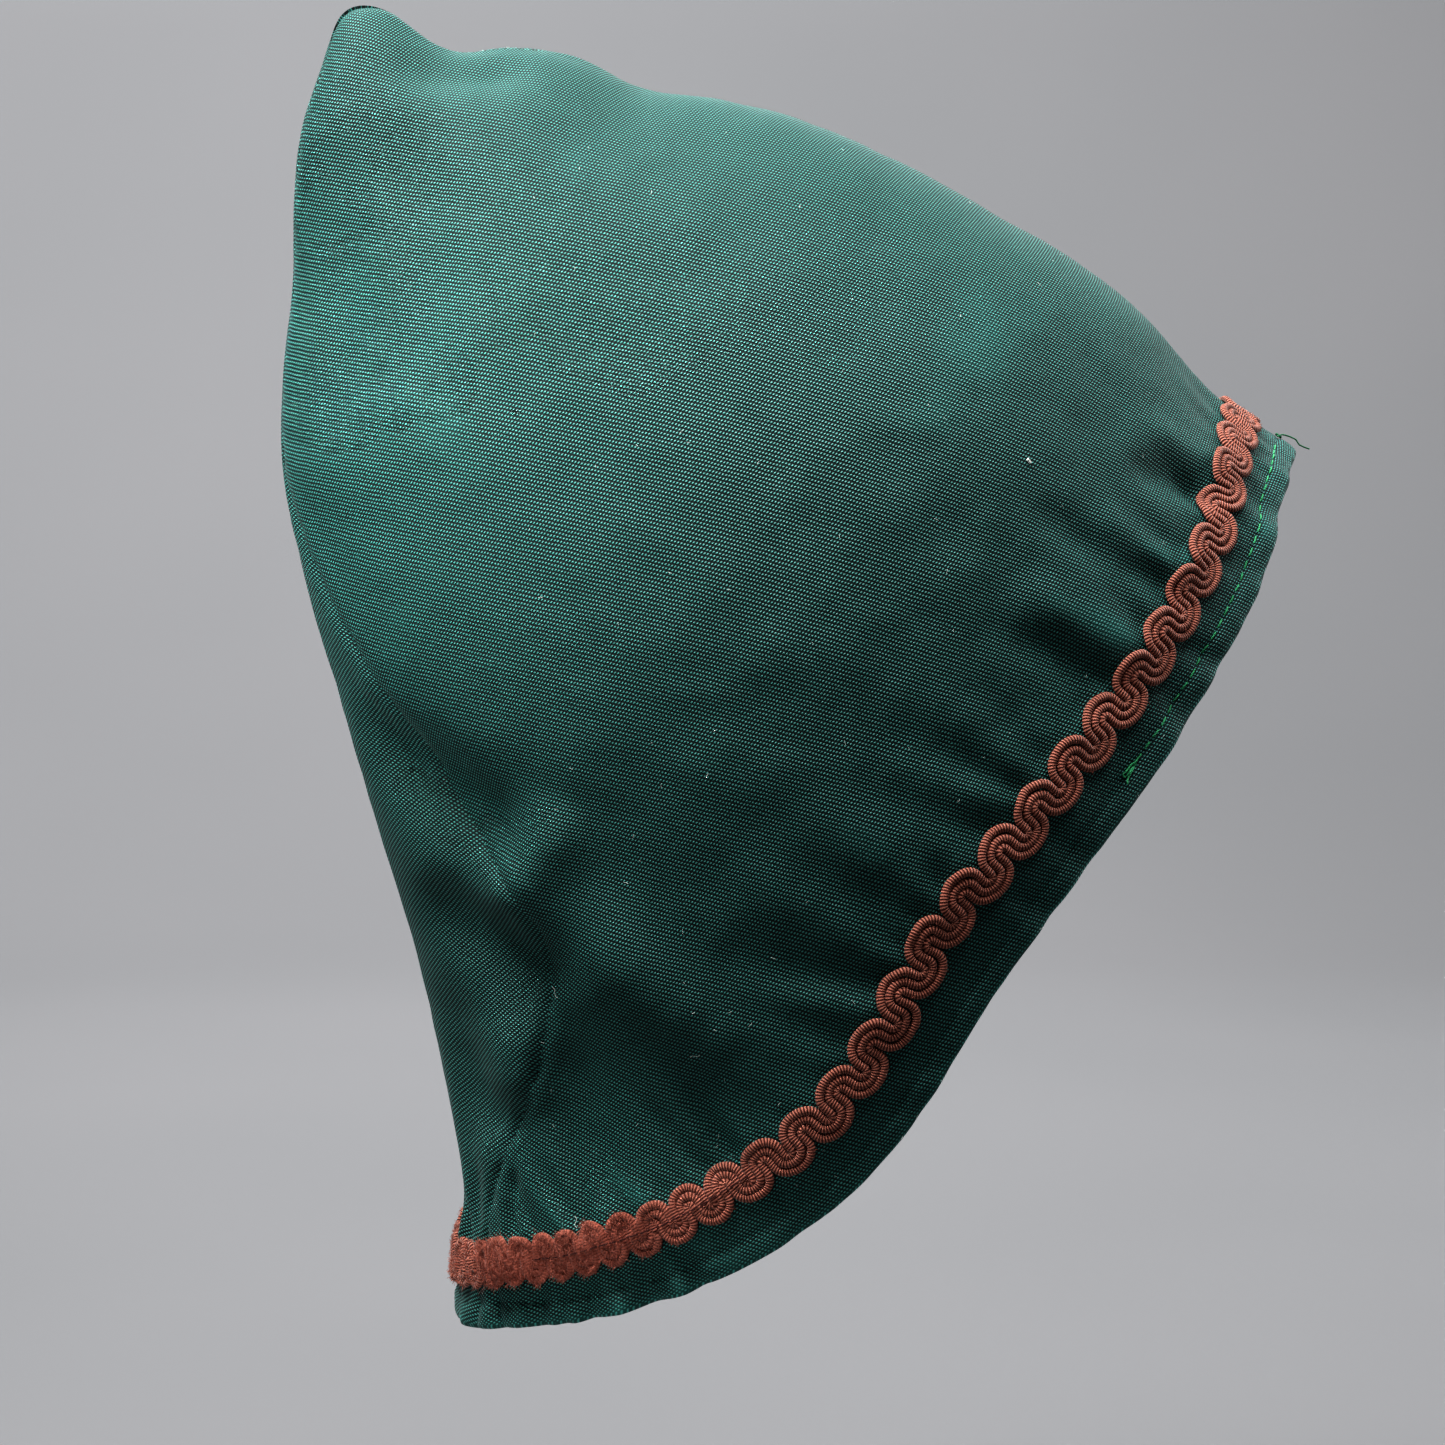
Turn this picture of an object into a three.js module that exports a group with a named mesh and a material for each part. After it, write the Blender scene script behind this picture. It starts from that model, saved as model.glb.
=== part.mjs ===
import * as THREE from "three";

// Sizes of the hood in millimetres: +Z is up, the face opening looks towards -Y, the wearer's right is -X
const HOOD_HEIGHT = 341;
const HOOD_DEPTH = 279;
const HALF_WIDTH = 78;
const CLOTH = 1.4;
const HEM_CLOTH = 2.6;
const HEM_DEPTH = 6.2;
const HEM_STEP = 1.2;
const GAP = 0.3;
const BRAID_WIDTH = 10.4;
const BRAID_THICKNESS = 1.8;
const BRAID_CROWN = 0.5;
const BRAID_SWING = 1.5;
const BRAID_NECK = 0.72;
const BRAID_REACH = BRAID_WIDTH / 2 + BRAID_SWING;
const BRAID_CLEAR = 6.4;
const BRAID_FROM = 0.985;
const BRAID_TO = -1.035;
const WALK_STEPS = 1200;
const LOBE_PITCH = 7.2;
const LAP_LENGTH = 9;
const LAP_RISE = 12;
const TIP_BULGE = 6.5;
const FOLD_HEIGHT = 7;
const FOLD_WIDTH = 12;
const FOLD_FADES = { before: -0.35, full: 0.3, stillFull: 0.7, after: 1.35 };

// A table as a list of rows, each with the named columns
function table(names, rows) {
  const columns = names.split(" ");
  return rows.map((row) => Object.fromEntries(columns.map((column, k) => [column, row[k]])));
}

// Sections from the front edge (along 0) to the peak (along 1). Each is a closed loop through the top of the
// hood and its back. Back and Up are shares of the depth and the height, width of the half width, seamShift of
// half the loop. A crease of 1 is a round end of the loop, more makes it a ridge.
const SECTIONS = table(
  "along topBack topUp napeBack napeUp width seamShift topCrease napeCrease",
  [
    [0, -0.386, -0.209, 0.453, -0.88, 0.98, 0.05, 0.95, 1],
    [0.1, -0.302, -0.166, 0.452, -0.781, 1, 0.084, 0.95, 1.05],
    [0.2, -0.227, -0.107, 0.467, -0.683, 1, 0.165, 0.95, 1.1],
    [0.3, -0.146, -0.057, 0.493, -0.586, 0.98, 0.2, 0.98, 1.15],
    [0.4, -0.059, -0.019, 0.53, -0.491, 0.93, 0.155, 1, 1.2],
    [0.5, 0.031, 0.018, 0.562, -0.396, 0.84, 0.122, 1.05, 1.25],
    [0.6, 0.125, 0.046, 0.594, -0.301, 0.72, 0.07, 1.15, 1.3],
    [0.68, 0.203, 0.058, 0.612, -0.224, 0.61, 0.02, 1.25, 1.3],
    [0.75, 0.272, 0.065, 0.611, -0.155, 0.51, 0, 1.3, 1.3],
    [0.82, 0.336, 0.088, 0.601, -0.086, 0.41, 0, 1.25, 1.25],
    [0.88, 0.395, 0.093, 0.599, -0.027, 0.32, 0, 1.15, 1.15],
    [0.94, 0.455, 0.089, 0.59, 0.031, 0.24, 0, 1, 1],
    [1, 0.505, 0.115, 0.565, 0.087, 0.18, 0, 1, 1],
  ],
);

// How far the front edge stands forward of the straight line from forehead to nape, as a share of the depth
const EDGE_BULGE = table(
  "turn forward",
  [
    [0, 0],
    [0.1, -0.015],
    [0.17, -0.012],
    [0.25, 0.012],
    [0.35, 0.035],
    [0.44, 0.05],
    [0.52, 0.068],
    [0.6, 0.102],
    [0.66, 0.108],
    [0.74, 0.085],
    [0.82, 0.048],
    [0.9, 0.013],
    [1, 0],
  ],
);
const BULGE_FADE = 1.5;
const NOSE_POWER = 12;

// Clear cloth between the hem and the braid's lobes, as a share of the widest, round from the top to the nape
const BRAID_PLACE = table(
  "turn clear",
  [
    [0, 0.66],
    [0.2, 0.68],
    [0.34, 0.66],
    [0.5, 0.98],
    [0.62, 1],
    [0.75, 0.74],
    [0.9, 0.38],
    [1, 0.24],
  ],
);

// Folds and dents, each along a line seen from the side: ends as shares of the depth and the height, height and
// width as shares of the highest and widest fold, side -1 for the wearer's right. A negative height is a dent.
const FOLDS = table(
  "side fromBack fromUp toBack toUp height width",
  [
    [-1, 0.55, -0.42, 0.427, -0.5, -1, 0.75],
    [-1, 0.402, -0.48, 0.431, -0.56, 0.71, 0.75],
    [-1, 0.375, -0.551, 0.278, -0.66, 0.57, 0.92],
    [-1, 0.5, -0.628, 0.429, -0.717, -0.57, 0.67],
    [-1, 0.483, -0.545, 0.393, -0.603, -0.57, 0.75],
    [-1, 0.406, -0.636, 0.421, -0.7, 0.43, 0.67],
    [-1, 0.395, -0.64, 0.345, -0.76, -0.57, 0.67],
    [-1, 0.33, -0.62, 0.25, -0.74, -0.36, 0.92],
    [-1, 0.576, 0.007, 0.57, -0.19, -0.43, 0.83],
    [-1, 0.5, 0.019, 0.51, -0.16, -0.43, 1],
    [-1, 0.5, 0.07, 0.4, 0.075, -0.43, 0.5],
    [1, 0.52, -0.43, 0.4, -0.52, -0.71, 0.92],
    [1, 0.38, -0.54, 0.27, -0.66, 0.5, 1],
    [1, 0.48, -0.56, 0.37, -0.66, -0.57, 0.83],
    [1, 0.4, -0.67, 0.34, -0.78, -0.57, 0.75],
    [1, 0.56, -0.02, 0.55, -0.2, -0.43, 1],
  ],
);
const FOLD_SIDE_FROM = 3;
const FOLD_SIDE_TO = 22;

// Columns and rows of each panel, and where its rows lie beyond the braid
const COLUMNS = 36;
const UPPER_ROWS = 23;
const UPPER_ROW_POWER = 1.2;
const ROW_CLEAR = 5;
const REACH_AT = 0.06;
const STEP = 1e-3;
const TIP_STEP = 0.02;
const SEAM_STRAIGHT = 1e-3;

// A smooth curve through the rows of a table, at any place between them
function read(table, key, name, at) {
  let i = 0;
  while (i < table.length - 2 && at > table[i + 1][key]) i++;
  const slope = (k) => {
    const a = table[Math.max(k - 1, 0)];
    const b = table[Math.min(k + 1, table.length - 1)];
    return (b[name] - a[name]) / (b[key] - a[key]);
  };
  const from = table[i];
  const to = table[i + 1];
  const span = to[key] - from[key];
  const t = (at - from[key]) / span;
  const t2 = t * t;
  const t3 = t2 * t;
  return (
    (2 * t3 - 3 * t2 + 1) * from[name] +
    (t3 - 2 * t2 + t) * span * slope(i) +
    (3 * t2 - 2 * t3) * to[name] +
    (t3 - t2) * span * slope(i + 1)
  );
}

const section = (name, along) => read(SECTIONS, "along", name, along);

const smooth = (from, to, value) => {
  const t = Math.min(Math.max((value - from) / (to - from), 0), 1);
  return t * t * (3 - 2 * t);
};

const wrap = (turn) => (turn > 1 ? turn - 2 : turn < -1 ? turn + 2 : turn);

// The surface before folds: turn runs from -1 to 1 round the loop, 0 at the top, positive on the right
function basePoint(along, turn) {
  const t = wrap(turn);
  const side = t < 0 ? 1 : -1;
  const round = Math.abs(t);
  const angle = round * Math.PI;
  const crease =
    section("topCrease", along) * (1 - round) +
    section("napeCrease", along) * round;
  const nose = Math.sqrt(Math.max(1 - Math.pow(Math.max(along, 0), NOSE_POWER), 0));
  const out = HALF_WIDTH * section("width", along) * nose * Math.pow(Math.sin(angle), crease);
  const top = [section("topBack", along) * HOOD_DEPTH, section("topUp", along) * HOOD_HEIGHT];
  const nape = [section("napeBack", along) * HOOD_DEPTH, section("napeUp", along) * HOOD_HEIGHT];
  const half = [(top[0] - nape[0]) / 2, (top[1] - nape[1]) / 2];
  const length = Math.hypot(half[0], half[1]);
  const ahead = [-half[1] / length, half[0] / length];
  const bulge = read(EDGE_BULGE, "turn", "forward", round) * HOOD_DEPTH;
  const tip = TIP_BULGE * Math.pow(Math.max(along, 0), NOSE_POWER) * Math.pow(Math.sin(angle), 2);
  const forward = bulge * Math.pow(1 - Math.min(along, 1), BULGE_FADE) - tip;
  return new THREE.Vector3(
    side * out,
    (top[0] + nape[0]) / 2 + half[0] * Math.cos(angle) + ahead[0] * forward,
    (top[1] + nape[1]) / 2 + half[1] * Math.cos(angle) + ahead[1] * forward,
  );
}

// The outward direction of a surface given by a function of along and turn
function outward(point, along, turn) {
  if (along > 1 - STEP) {
    const a = point(1, Math.max(Math.abs(turn) - TIP_STEP, 0));
    const b = point(1, Math.min(Math.abs(turn) + TIP_STEP, 1));
    return new THREE.Vector3(0, a.z - b.z, b.y - a.y).normalize();
  }
  const before = Math.max(along - STEP, 0);
  const acrossLoops = point(along + STEP, turn).sub(point(before, turn));
  const roundLoop = point(along, turn + STEP).sub(point(along, turn - STEP));
  return acrossLoops.cross(roundLoop).normalize();
}

// Height of all folds at a point of the surface before folds
function foldHeight(p) {
  let height = 0;
  for (const fold of FOLDS) {
    const weight = smooth(FOLD_SIDE_FROM, FOLD_SIDE_TO, p.x * fold.side);
    if (weight === 0) continue;
    const from = [fold.fromBack * HOOD_DEPTH, fold.fromUp * HOOD_HEIGHT];
    const line = [fold.toBack * HOOD_DEPTH - from[0], fold.toUp * HOOD_HEIGHT - from[1]];
    const squared = line[0] * line[0] + line[1] * line[1];
    const t = ((p.y - from[0]) * line[0] + (p.z - from[1]) * line[1]) / squared;
    const near = Math.min(Math.max(t, 0), 1);
    const away = Math.hypot(p.y - from[0] - near * line[0], p.z - from[1] - near * line[1]);
    const fadeIn = smooth(FOLD_FADES.before, FOLD_FADES.full, t);
    const fadeOut = smooth(FOLD_FADES.after, FOLD_FADES.stillFull, t);
    const across = away / (fold.width * FOLD_WIDTH);
    height += weight * fadeIn * fadeOut * fold.height * FOLD_HEIGHT * Math.exp(-across * across);
  }
  return height;
}

function surfacePoint(along, turn) {
  const p = basePoint(along, turn);
  const height = foldHeight(p);
  if (height !== 0) p.addScaledVector(outward(basePoint, along, turn), height);
  return p;
}

// How much cloth there is square to the front edge for a full step of along
function reachOf(turn) {
  const up = surfacePoint(REACH_AT, turn).sub(surfacePoint(0, turn));
  const edge = surfacePoint(0, turn + STEP).sub(surfacePoint(0, turn - STEP)).normalize();
  return up.addScaledVector(edge, -up.dot(edge)).length() / REACH_AT;
}

const clearAt = (turn) => BRAID_CLEAR * read(BRAID_PLACE, "turn", "clear", Math.abs(wrap(turn)));

// Rows of a panel at one place round the loop: distances near the edge, then shares of the rest
function rowsAt(turn) {
  const hem = HEM_DEPTH + HEM_STEP;
  const middle = hem + clearAt(turn) + BRAID_REACH;
  const near = [0, HEM_DEPTH, hem, middle, middle + BRAID_REACH + ROW_CLEAR];
  const reach = reachOf(turn);
  const rows = near.map((distance) => distance / reach);
  const start = rows[rows.length - 1];
  for (let i = 1; i <= UPPER_ROWS; i++) {
    const share = 1 - Math.pow(1 - i / UPPER_ROWS, UPPER_ROW_POWER);
    rows.push(start + (1 - start) * share);
  }
  return rows;
}

// The turn of a place on a panel, side -1 for the right and 1 for the left: across is 0 on the top seam and 1 on
// the back seam
function turnOn(side, across, along) {
  return -side * across * (1 + side * section("seamShift", Math.max(along, 0)));
}

const HEM_ROW = 1;
const BRAID_ROW = 3;
const ROWS = 5 + UPPER_ROWS;

// One side panel as a grid of outer and inner points, side -1 for the right and 1 for the left
function panelGrid(side) {
  const outer = [];
  const inner = [];
  for (let i = 0; i <= COLUMNS; i++) {
    const across = i / COLUMNS;
    const rows = rowsAt(turnOn(side, across, 0));
    outer.push([]);
    inner.push([]);
    rows.forEach((along, j) => {
      const turn = turnOn(side, across, along);
      const p = surfacePoint(along, turn);
      const out = outward(surfacePoint, along, turn);
      if (j === ROWS - 1 || i === 0) {
        p.x = (side * GAP) / 2;
      } else if (i === COLUMNS) {
        const before = surfacePoint(along, turn + side * STEP);
        const after = surfacePoint(along, turn - side * STEP);
        p.addScaledVector(before.sub(after).normalize(), GAP / 2);
      }
      const thickness = j <= HEM_ROW ? HEM_CLOTH : CLOTH;
      const q = p.clone().addScaledVector(out, -thickness);
      if (j === ROWS - 1) q.x = p.x;
      if (section("seamShift", Math.min(along, 1)) < SEAM_STRAIGHT || i < COLUMNS / 2)
        q.x = side * Math.max(side * q.x, GAP / 2);
      outer[i].push(p);
      inner[i].push(q);
    });
  }
  return { side, outer, inner };
}

// A closed mesh from faces that each list three or four points, in order seen from outside
function solid(name, faces, material) {
  const positions = [];
  for (const face of faces)
    for (let k = 1; k < face.length - 1; k++)
      for (const p of [face[0], face[k], face[k + 1]]) positions.push(p.x, p.y, p.z);
  const geometry = new THREE.BufferGeometry();
  geometry.setAttribute("position", new THREE.Float32BufferAttribute(positions, 3));
  geometry.computeVertexNormals();
  const mesh = new THREE.Mesh(geometry, material);
  mesh.name = name;
  return mesh;
}

function panel(name, side, grid, material) {
  const { outer, inner } = grid;
  const faces = [];
  const add = (a, b, c, d) => faces.push(side < 0 ? [a, b, c, d] : [a, d, c, b]);
  for (let i = 0; i < COLUMNS; i++)
    for (let j = 0; j < ROWS - 1; j++) {
      add(outer[i][j], outer[i][j + 1], outer[i + 1][j + 1], outer[i + 1][j]);
      add(inner[i][j], inner[i + 1][j], inner[i + 1][j + 1], inner[i][j + 1]);
    }
  for (let i = 0; i < COLUMNS; i++) {
    add(outer[i][0], outer[i + 1][0], inner[i + 1][0], inner[i][0]);
    const j = ROWS - 1;
    add(outer[i + 1][j], outer[i][j], inner[i][j], inner[i + 1][j]);
  }
  for (let j = 0; j < ROWS - 1; j++) {
    add(outer[0][j + 1], outer[0][j], inner[0][j], inner[0][j + 1]);
    add(outer[COLUMNS][j], outer[COLUMNS][j + 1], inner[COLUMNS][j + 1], inner[COLUMNS][j]);
  }
  return solid(name, faces, material);
}

const GRIDS = { right: panelGrid(-1), left: panelGrid(1) };

// Point and outward direction on the flat faces of the panels: place runs from 1 at the nape of the right
// panel over the forehead at 0 to -1 at the nape of the left panel, and reach is the distance past the braid row
function onPanels(place, reach) {
  let grid = place >= 0 ? GRIDS.right : GRIDS.left;
  let across = Math.abs(place);
  if (place < -1) {
    grid = GRIDS.right;
    across = 2 + place;
  }
  const at = Math.min(across * COLUMNS, COLUMNS - 1e-6);
  const i = Math.floor(at);
  const f = at - i;
  const row = (j) => grid.outer[i][j].clone().lerp(grid.outer[i + 1][j], f);
  const before = row(BRAID_ROW - 1);
  const after = row(BRAID_ROW + 1);
  const beside = reach < 0 ? clearAt(turnOn(grid.side, across, 0)) : ROW_CLEAR;
  const share = Math.abs(reach) / (BRAID_REACH + beside);
  const low = reach < 0 ? BRAID_ROW - 1 : BRAID_ROW;
  const g = reach < 0 ? 1 - share : share;
  const a = grid.outer[i][low];
  const b = grid.outer[i][low + 1];
  const c = grid.outer[i + 1][low + 1];
  const d = grid.outer[i + 1][low];
  const point = a.clone();
  if (g > f) point.addScaledVector(b.clone().sub(a), g).addScaledVector(c.clone().sub(b), f);
  else point.addScaledVector(d.clone().sub(a), f).addScaledVector(c.clone().sub(d), g);
  const acrossBand = after.sub(before);
  const alongBand = grid.outer[i + 1][BRAID_ROW].clone().sub(grid.outer[i][BRAID_ROW]);
  const out = acrossBand.cross(alongBand).normalize();
  if (grid.side > 0) out.negate();
  return { point, out };
}

// Walk along the middle of the braid so that its lobes are evenly spaced
function braidWalk() {
  const samples = [];
  let length = 0;
  let last = null;
  for (let k = 0; k <= WALK_STEPS; k++) {
    const place = BRAID_FROM + (k / WALK_STEPS) * (BRAID_TO - BRAID_FROM);
    const { point } = onPanels(place, 0);
    if (last) length += point.distanceTo(last);
    samples.push({ place, length });
    last = point;
  }
  return { samples, length };
}

function placeAt(walk, distance) {
  const { samples } = walk;
  let k = 1;
  while (k < samples.length - 1 && samples[k].length < distance) k++;
  const a = samples[k - 1];
  const b = samples[k];
  const t = (distance - a.length) / (b.length - a.length);
  return a.place + (b.place - a.place) * Math.min(Math.max(t, 0), 1);
}

// The woven braid: one band with scalloped edges, each lobe swung a little to one side of the middle line
function braid(name, material) {
  const walk = braidWalk();
  const lobes = Math.round(walk.length / LOBE_PITCH);
  const stations = [];
  for (let k = 0; k <= lobes * 2; k++) {
    const distance = (walk.length * k) / (lobes * 2);
    const place = placeAt(walk, distance);
    const lobe = k % 2 === 1;
    const swing = lobe ? BRAID_SWING * (k % 4 === 1 ? 1 : -1) : 0;
    const half = (BRAID_WIDTH / 2) * (lobe ? 1 : BRAID_NECK);
    const over = smooth(LAP_LENGTH + LAP_RISE, LAP_LENGTH, distance);
    const lift = GAP + over * (BRAID_THICKNESS + BRAID_CROWN + GAP);
    const ring = [];
    for (const reach of [swing - half, swing, swing + half]) {
      const { point, out } = onPanels(place, reach);
      const crown = reach === swing ? BRAID_CROWN : 0;
      ring.push({
        low: point.clone().addScaledVector(out, lift),
        high: point.clone().addScaledVector(out, lift + BRAID_THICKNESS + crown),
      });
    }
    stations.push([ring[0].low, ring[1].low, ring[2].low, ring[2].high, ring[1].high, ring[0].high]);
  }
  const faces = [];
  for (let k = 0; k < stations.length - 1; k++)
    for (let n = 0; n < 6; n++) {
      const m = (n + 1) % 6;
      faces.push([stations[k][n], stations[k][m], stations[k + 1][m], stations[k + 1][n]]);
    }
  const cap = (s) => [
    [s[0], s[5], s[4], s[1]],
    [s[1], s[4], s[3], s[2]],
  ];
  const first = stations[0];
  const end = stations[stations.length - 1];
  faces.push(...cap(first));
  faces.push(...cap(end).map((face) => face.slice().reverse()));
  return solid(name, faces, material);
}

const GREEN_TWILL = new THREE.MeshStandardMaterial({ color: 0x1f5f54, roughness: 0.92, metalness: 0 });
const RUST_GIMP = new THREE.MeshStandardMaterial({ color: 0xa3543f, roughness: 0.85, metalness: 0 });

const hood = new THREE.Group();
hood.name = "pointed_hood";
hood.add(panel("right_panel", -1, GRIDS.right, GREEN_TWILL));
hood.add(panel("left_panel", 1, GRIDS.left, GREEN_TWILL));
hood.add(braid("gimp_braid", RUST_GIMP));

export default hood;
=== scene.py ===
# %% [markdown]
# # A pointed hood of green twill with a scroll gimp
# The real hood is two pieces of cotton twill, one for each side, sewn together over the top and down the
# back, with a turned hem round the front opening and a rust-brown scroll gimp stitched on beside it. The
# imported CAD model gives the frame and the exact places. Everything below is built around it, in metres.

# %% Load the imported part
import math

import bpy
import numpy as np
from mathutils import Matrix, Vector


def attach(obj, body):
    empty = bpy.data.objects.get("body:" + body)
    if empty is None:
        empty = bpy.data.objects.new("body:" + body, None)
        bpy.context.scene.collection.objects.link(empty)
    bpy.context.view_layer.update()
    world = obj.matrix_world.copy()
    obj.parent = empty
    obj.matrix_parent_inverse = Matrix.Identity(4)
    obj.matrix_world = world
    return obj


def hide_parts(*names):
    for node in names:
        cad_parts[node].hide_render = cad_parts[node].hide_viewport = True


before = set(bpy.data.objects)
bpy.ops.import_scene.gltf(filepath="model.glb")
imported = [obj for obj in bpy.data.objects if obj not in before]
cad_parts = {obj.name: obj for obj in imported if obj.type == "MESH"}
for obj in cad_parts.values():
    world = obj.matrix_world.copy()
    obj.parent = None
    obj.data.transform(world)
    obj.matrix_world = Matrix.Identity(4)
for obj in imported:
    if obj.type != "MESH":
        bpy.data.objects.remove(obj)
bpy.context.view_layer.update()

MM = 0.001

# %% [markdown]
# ## Camera and studio
# The camera looks at the right side of the hood, a little from behind and from the height of its middle.
# A long lens from 85 cm keeps the perspective calm. The floor is one pale bowl whose sides rise in a wide
# curve, so that no horizon cuts the background from any side. A flat wall behind would do for this one
# view alone. The lamps are large and keep the light soft.

# %% Camera
TARGET = Vector((0.0, 0.054, -0.144))
AZIMUTH = math.radians(-105)
ELEVATION = math.radians(4)
DISTANCE = 0.85
SENSOR_MM = 36.0
LENS_MM = 79.3


def from_angles(azimuth, elevation, distance):
    """A point at a distance from the target, in the directions that a view is named by"""
    flat = math.cos(elevation)
    way = Vector((math.sin(azimuth) * flat, -math.cos(azimuth) * flat, math.sin(elevation)))
    return TARGET + way * distance


def aim(item, at):
    """Turn a camera or a lamp so that it looks at a point"""
    item.rotation_euler = (at - item.location).to_track_quat("-Z", "Y").to_euler()


camera = bpy.data.objects.new("camera", bpy.data.cameras.new("camera"))
camera.data.sensor_width = SENSOR_MM
camera.data.lens = LENS_MM
camera.location = from_angles(AZIMUTH, ELEVATION, DISTANCE)
aim(camera, TARGET)
bpy.context.collection.objects.link(camera)
bpy.context.scene.camera = camera
print("camera at", [round(value, 3) for value in camera.location])

# %% Mesh helper
SHARP_ANGLE = math.radians(50)


def mesh_object(name, points, faces, attributes=()):
    """A mesh object from points in metres and faces, turned so that its faces look outwards"""
    points = np.asarray(points, dtype=float)
    mesh = bpy.data.meshes.new(name)
    mesh.from_pydata(points.tolist(), [], [tuple(face) for face in faces])
    mesh.calc_loop_triangles()
    corners = np.empty(len(mesh.loop_triangles) * 3, dtype=np.int32)
    mesh.loop_triangles.foreach_get("vertices", corners)
    a, b, c = (points[corners[k::3]] for k in range(3))
    if np.einsum("ij,ij->", a, np.cross(b, c)) < 0:
        mesh.flip_normals()
    for title, values in dict(attributes).items():
        layer = mesh.attributes.new(title, "FLOAT_VECTOR", "POINT")
        layer.data.foreach_set("vector", np.asarray(values, dtype=np.float32).ravel())
    mesh.shade_smooth()
    mesh.set_sharp_from_angle(angle=SHARP_ANGLE)
    item = bpy.data.objects.new(name, mesh)
    bpy.context.collection.objects.link(item)
    return item


def ring_quads(count, size):
    """Faces between closed rings of points that follow one another"""
    start = np.arange(count - 1)[:, None] * size
    here = np.arange(size)[None, :]
    after = (here + 1) % size
    corners = [start + here, start + after, start + size + after, start + size + here]
    return np.stack(corners, axis=-1).reshape(-1, 4)


# %% [markdown]
# ## Materials
# Each finish is a small network of nodes. Painted pictures could do the same, but a network needs no
# picture and stays sharp from near. Effects that several finishes share are node groups with named
# sockets: a slow drift of the colour, a woven twill, and a thread wound round a core. The twill and the
# thread also paint a highlight on their crests and shade in their valleys and grooves. The groups give
# only colours, masks and heights. The shader and the plain numbers of each finish stay in its own
# material.

# %% A short way to write nodes


class Tree:
    """Adds nodes to a tree and joins them"""

    def __init__(self, tree):
        self.tree = tree

    def node(self, kind, inputs=(), **settings):
        """A node with its settings made, and its inputs linked or set"""
        made = self.tree.nodes.new("ShaderNode" + kind)
        for key, value in settings.items():
            setattr(made, key, value)
        for socket, value in dict(inputs).items():
            if isinstance(value, bpy.types.NodeSocket):
                self.tree.links.new(value, made.inputs[socket])
            else:
                made.inputs[socket].default_value = value
        return made

    def math(self, operation, *values):
        return self.node("Math", dict(enumerate(values)), operation=operation).outputs[0]

    def blend(self, share, first, second):
        return self.node("Mix", {0: share, 6: first, 7: second}, data_type="RGBA").outputs[2]

    def noise(self, place, scale, detail=2.0, roughness=0.5):
        sockets = {"Vector": place, "Scale": scale, "Detail": detail, "Roughness": roughness}
        return self.node("TexNoise", sockets).outputs["Fac"]

    def span(self, value, low, high, to_low=0.0, to_high=1.0):
        sockets = {0: value, 1: low, 2: high, 3: to_low, 4: to_high}
        return self.node("MapRange", sockets).outputs[0]

    def group(self, group, inputs):
        return self.node("Group", inputs, node_tree=group).outputs


SOCKET_KINDS = {"vector": "NodeSocketVector", "number": "NodeSocketFloat", "colour": "NodeSocketColor"}


def new_group(name, inputs, outputs):
    """An empty node group with named sockets, given as name: kind"""
    group = bpy.data.node_groups.new(name, "ShaderNodeTree")
    for way, sockets in (("INPUT", inputs), ("OUTPUT", outputs)):
        for title, kind in sockets.items():
            group.interface.new_socket(title, in_out=way, socket_type=SOCKET_KINDS[kind])
    start = group.nodes.new("NodeGroupInput")
    end = group.nodes.new("NodeGroupOutput")
    return group, Tree(group), start.outputs, end.inputs


# %% Group: slow drift of a colour
drift_group, drift, given, result = new_group(
    "colour drift",
    {"Place": "vector", "Color": "colour", "Pale": "colour", "Scale": "number", "Amount": "number"},
    {"Color": "colour"},
)
wide = drift.noise(given["Place"], given["Scale"], 3.0)
share = drift.math("MULTIPLY", drift.span(wide, 0.35, 0.7), given["Amount"])
drift_group.links.new(drift.blend(share, given["Color"], given["Pale"]), result["Color"])
print("group", drift_group.name)

# %% Group: twill weave, with painted highlights and painted shade
twill_group, twill, given, result = new_group(
    "twill weave",
    {
        "Place": "vector",
        "Color": "colour",
        "Valley Shade": "colour",
        "Crest Highlight": "colour",
        "Rib": "number",
        "Float": "number",
        "Contrast": "number",
    },
    {"Color": "colour", "Height": "number"},
)
# Shares of a rib by which ribs wander and by which the floats of the next rib are set off
WANDER_SHARE = 0.5
SET_OFF = 0.5
YARN_SHARE = 0.6
TURN = 2 * math.pi
split = twill.node("SeparateXYZ", {0: given["Place"]}).outputs
wander = twill.noise(given["Place"], 260.0, 3.0)
rib = twill.math("DIVIDE", split[1], given["Rib"])
rib = twill.math("ADD", rib, twill.math("MULTIPLY", wander, WANDER_SHARE))
floats = twill.math("DIVIDE", split[0], given["Float"])
floats = twill.math("ADD", floats, twill.math("MULTIPLY", rib, SET_OFF))
crest = twill.span(twill.math("SINE", twill.math("MULTIPLY", rib, TURN)), -1.0, 1.0)
strokes = twill.span(twill.math("SINE", twill.math("MULTIPLY", floats, TURN)), -1.0, 1.0)
yarn = twill.noise(given["Place"], 2600.0, 2.0)
height = twill.math("MULTIPLY", crest, twill.span(strokes, 0.15, 0.9, 0.05, 1.0))
height = twill.math("ADD", height, twill.math("MULTIPLY", yarn, YARN_SHARE))
twill_group.links.new(height, result["Height"])
# By the height of the weave, the valleys get a painted shade and the crests a painted highlight
low = twill.blend(given["Contrast"], given["Color"], given["Valley Shade"])
high = twill.blend(given["Contrast"], given["Color"], given["Crest Highlight"])
shade = twill.span(height, 0.45, 1.25)
twill_group.links.new(twill.blend(shade, low, high), result["Color"])
print("group", twill_group.name)
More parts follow.
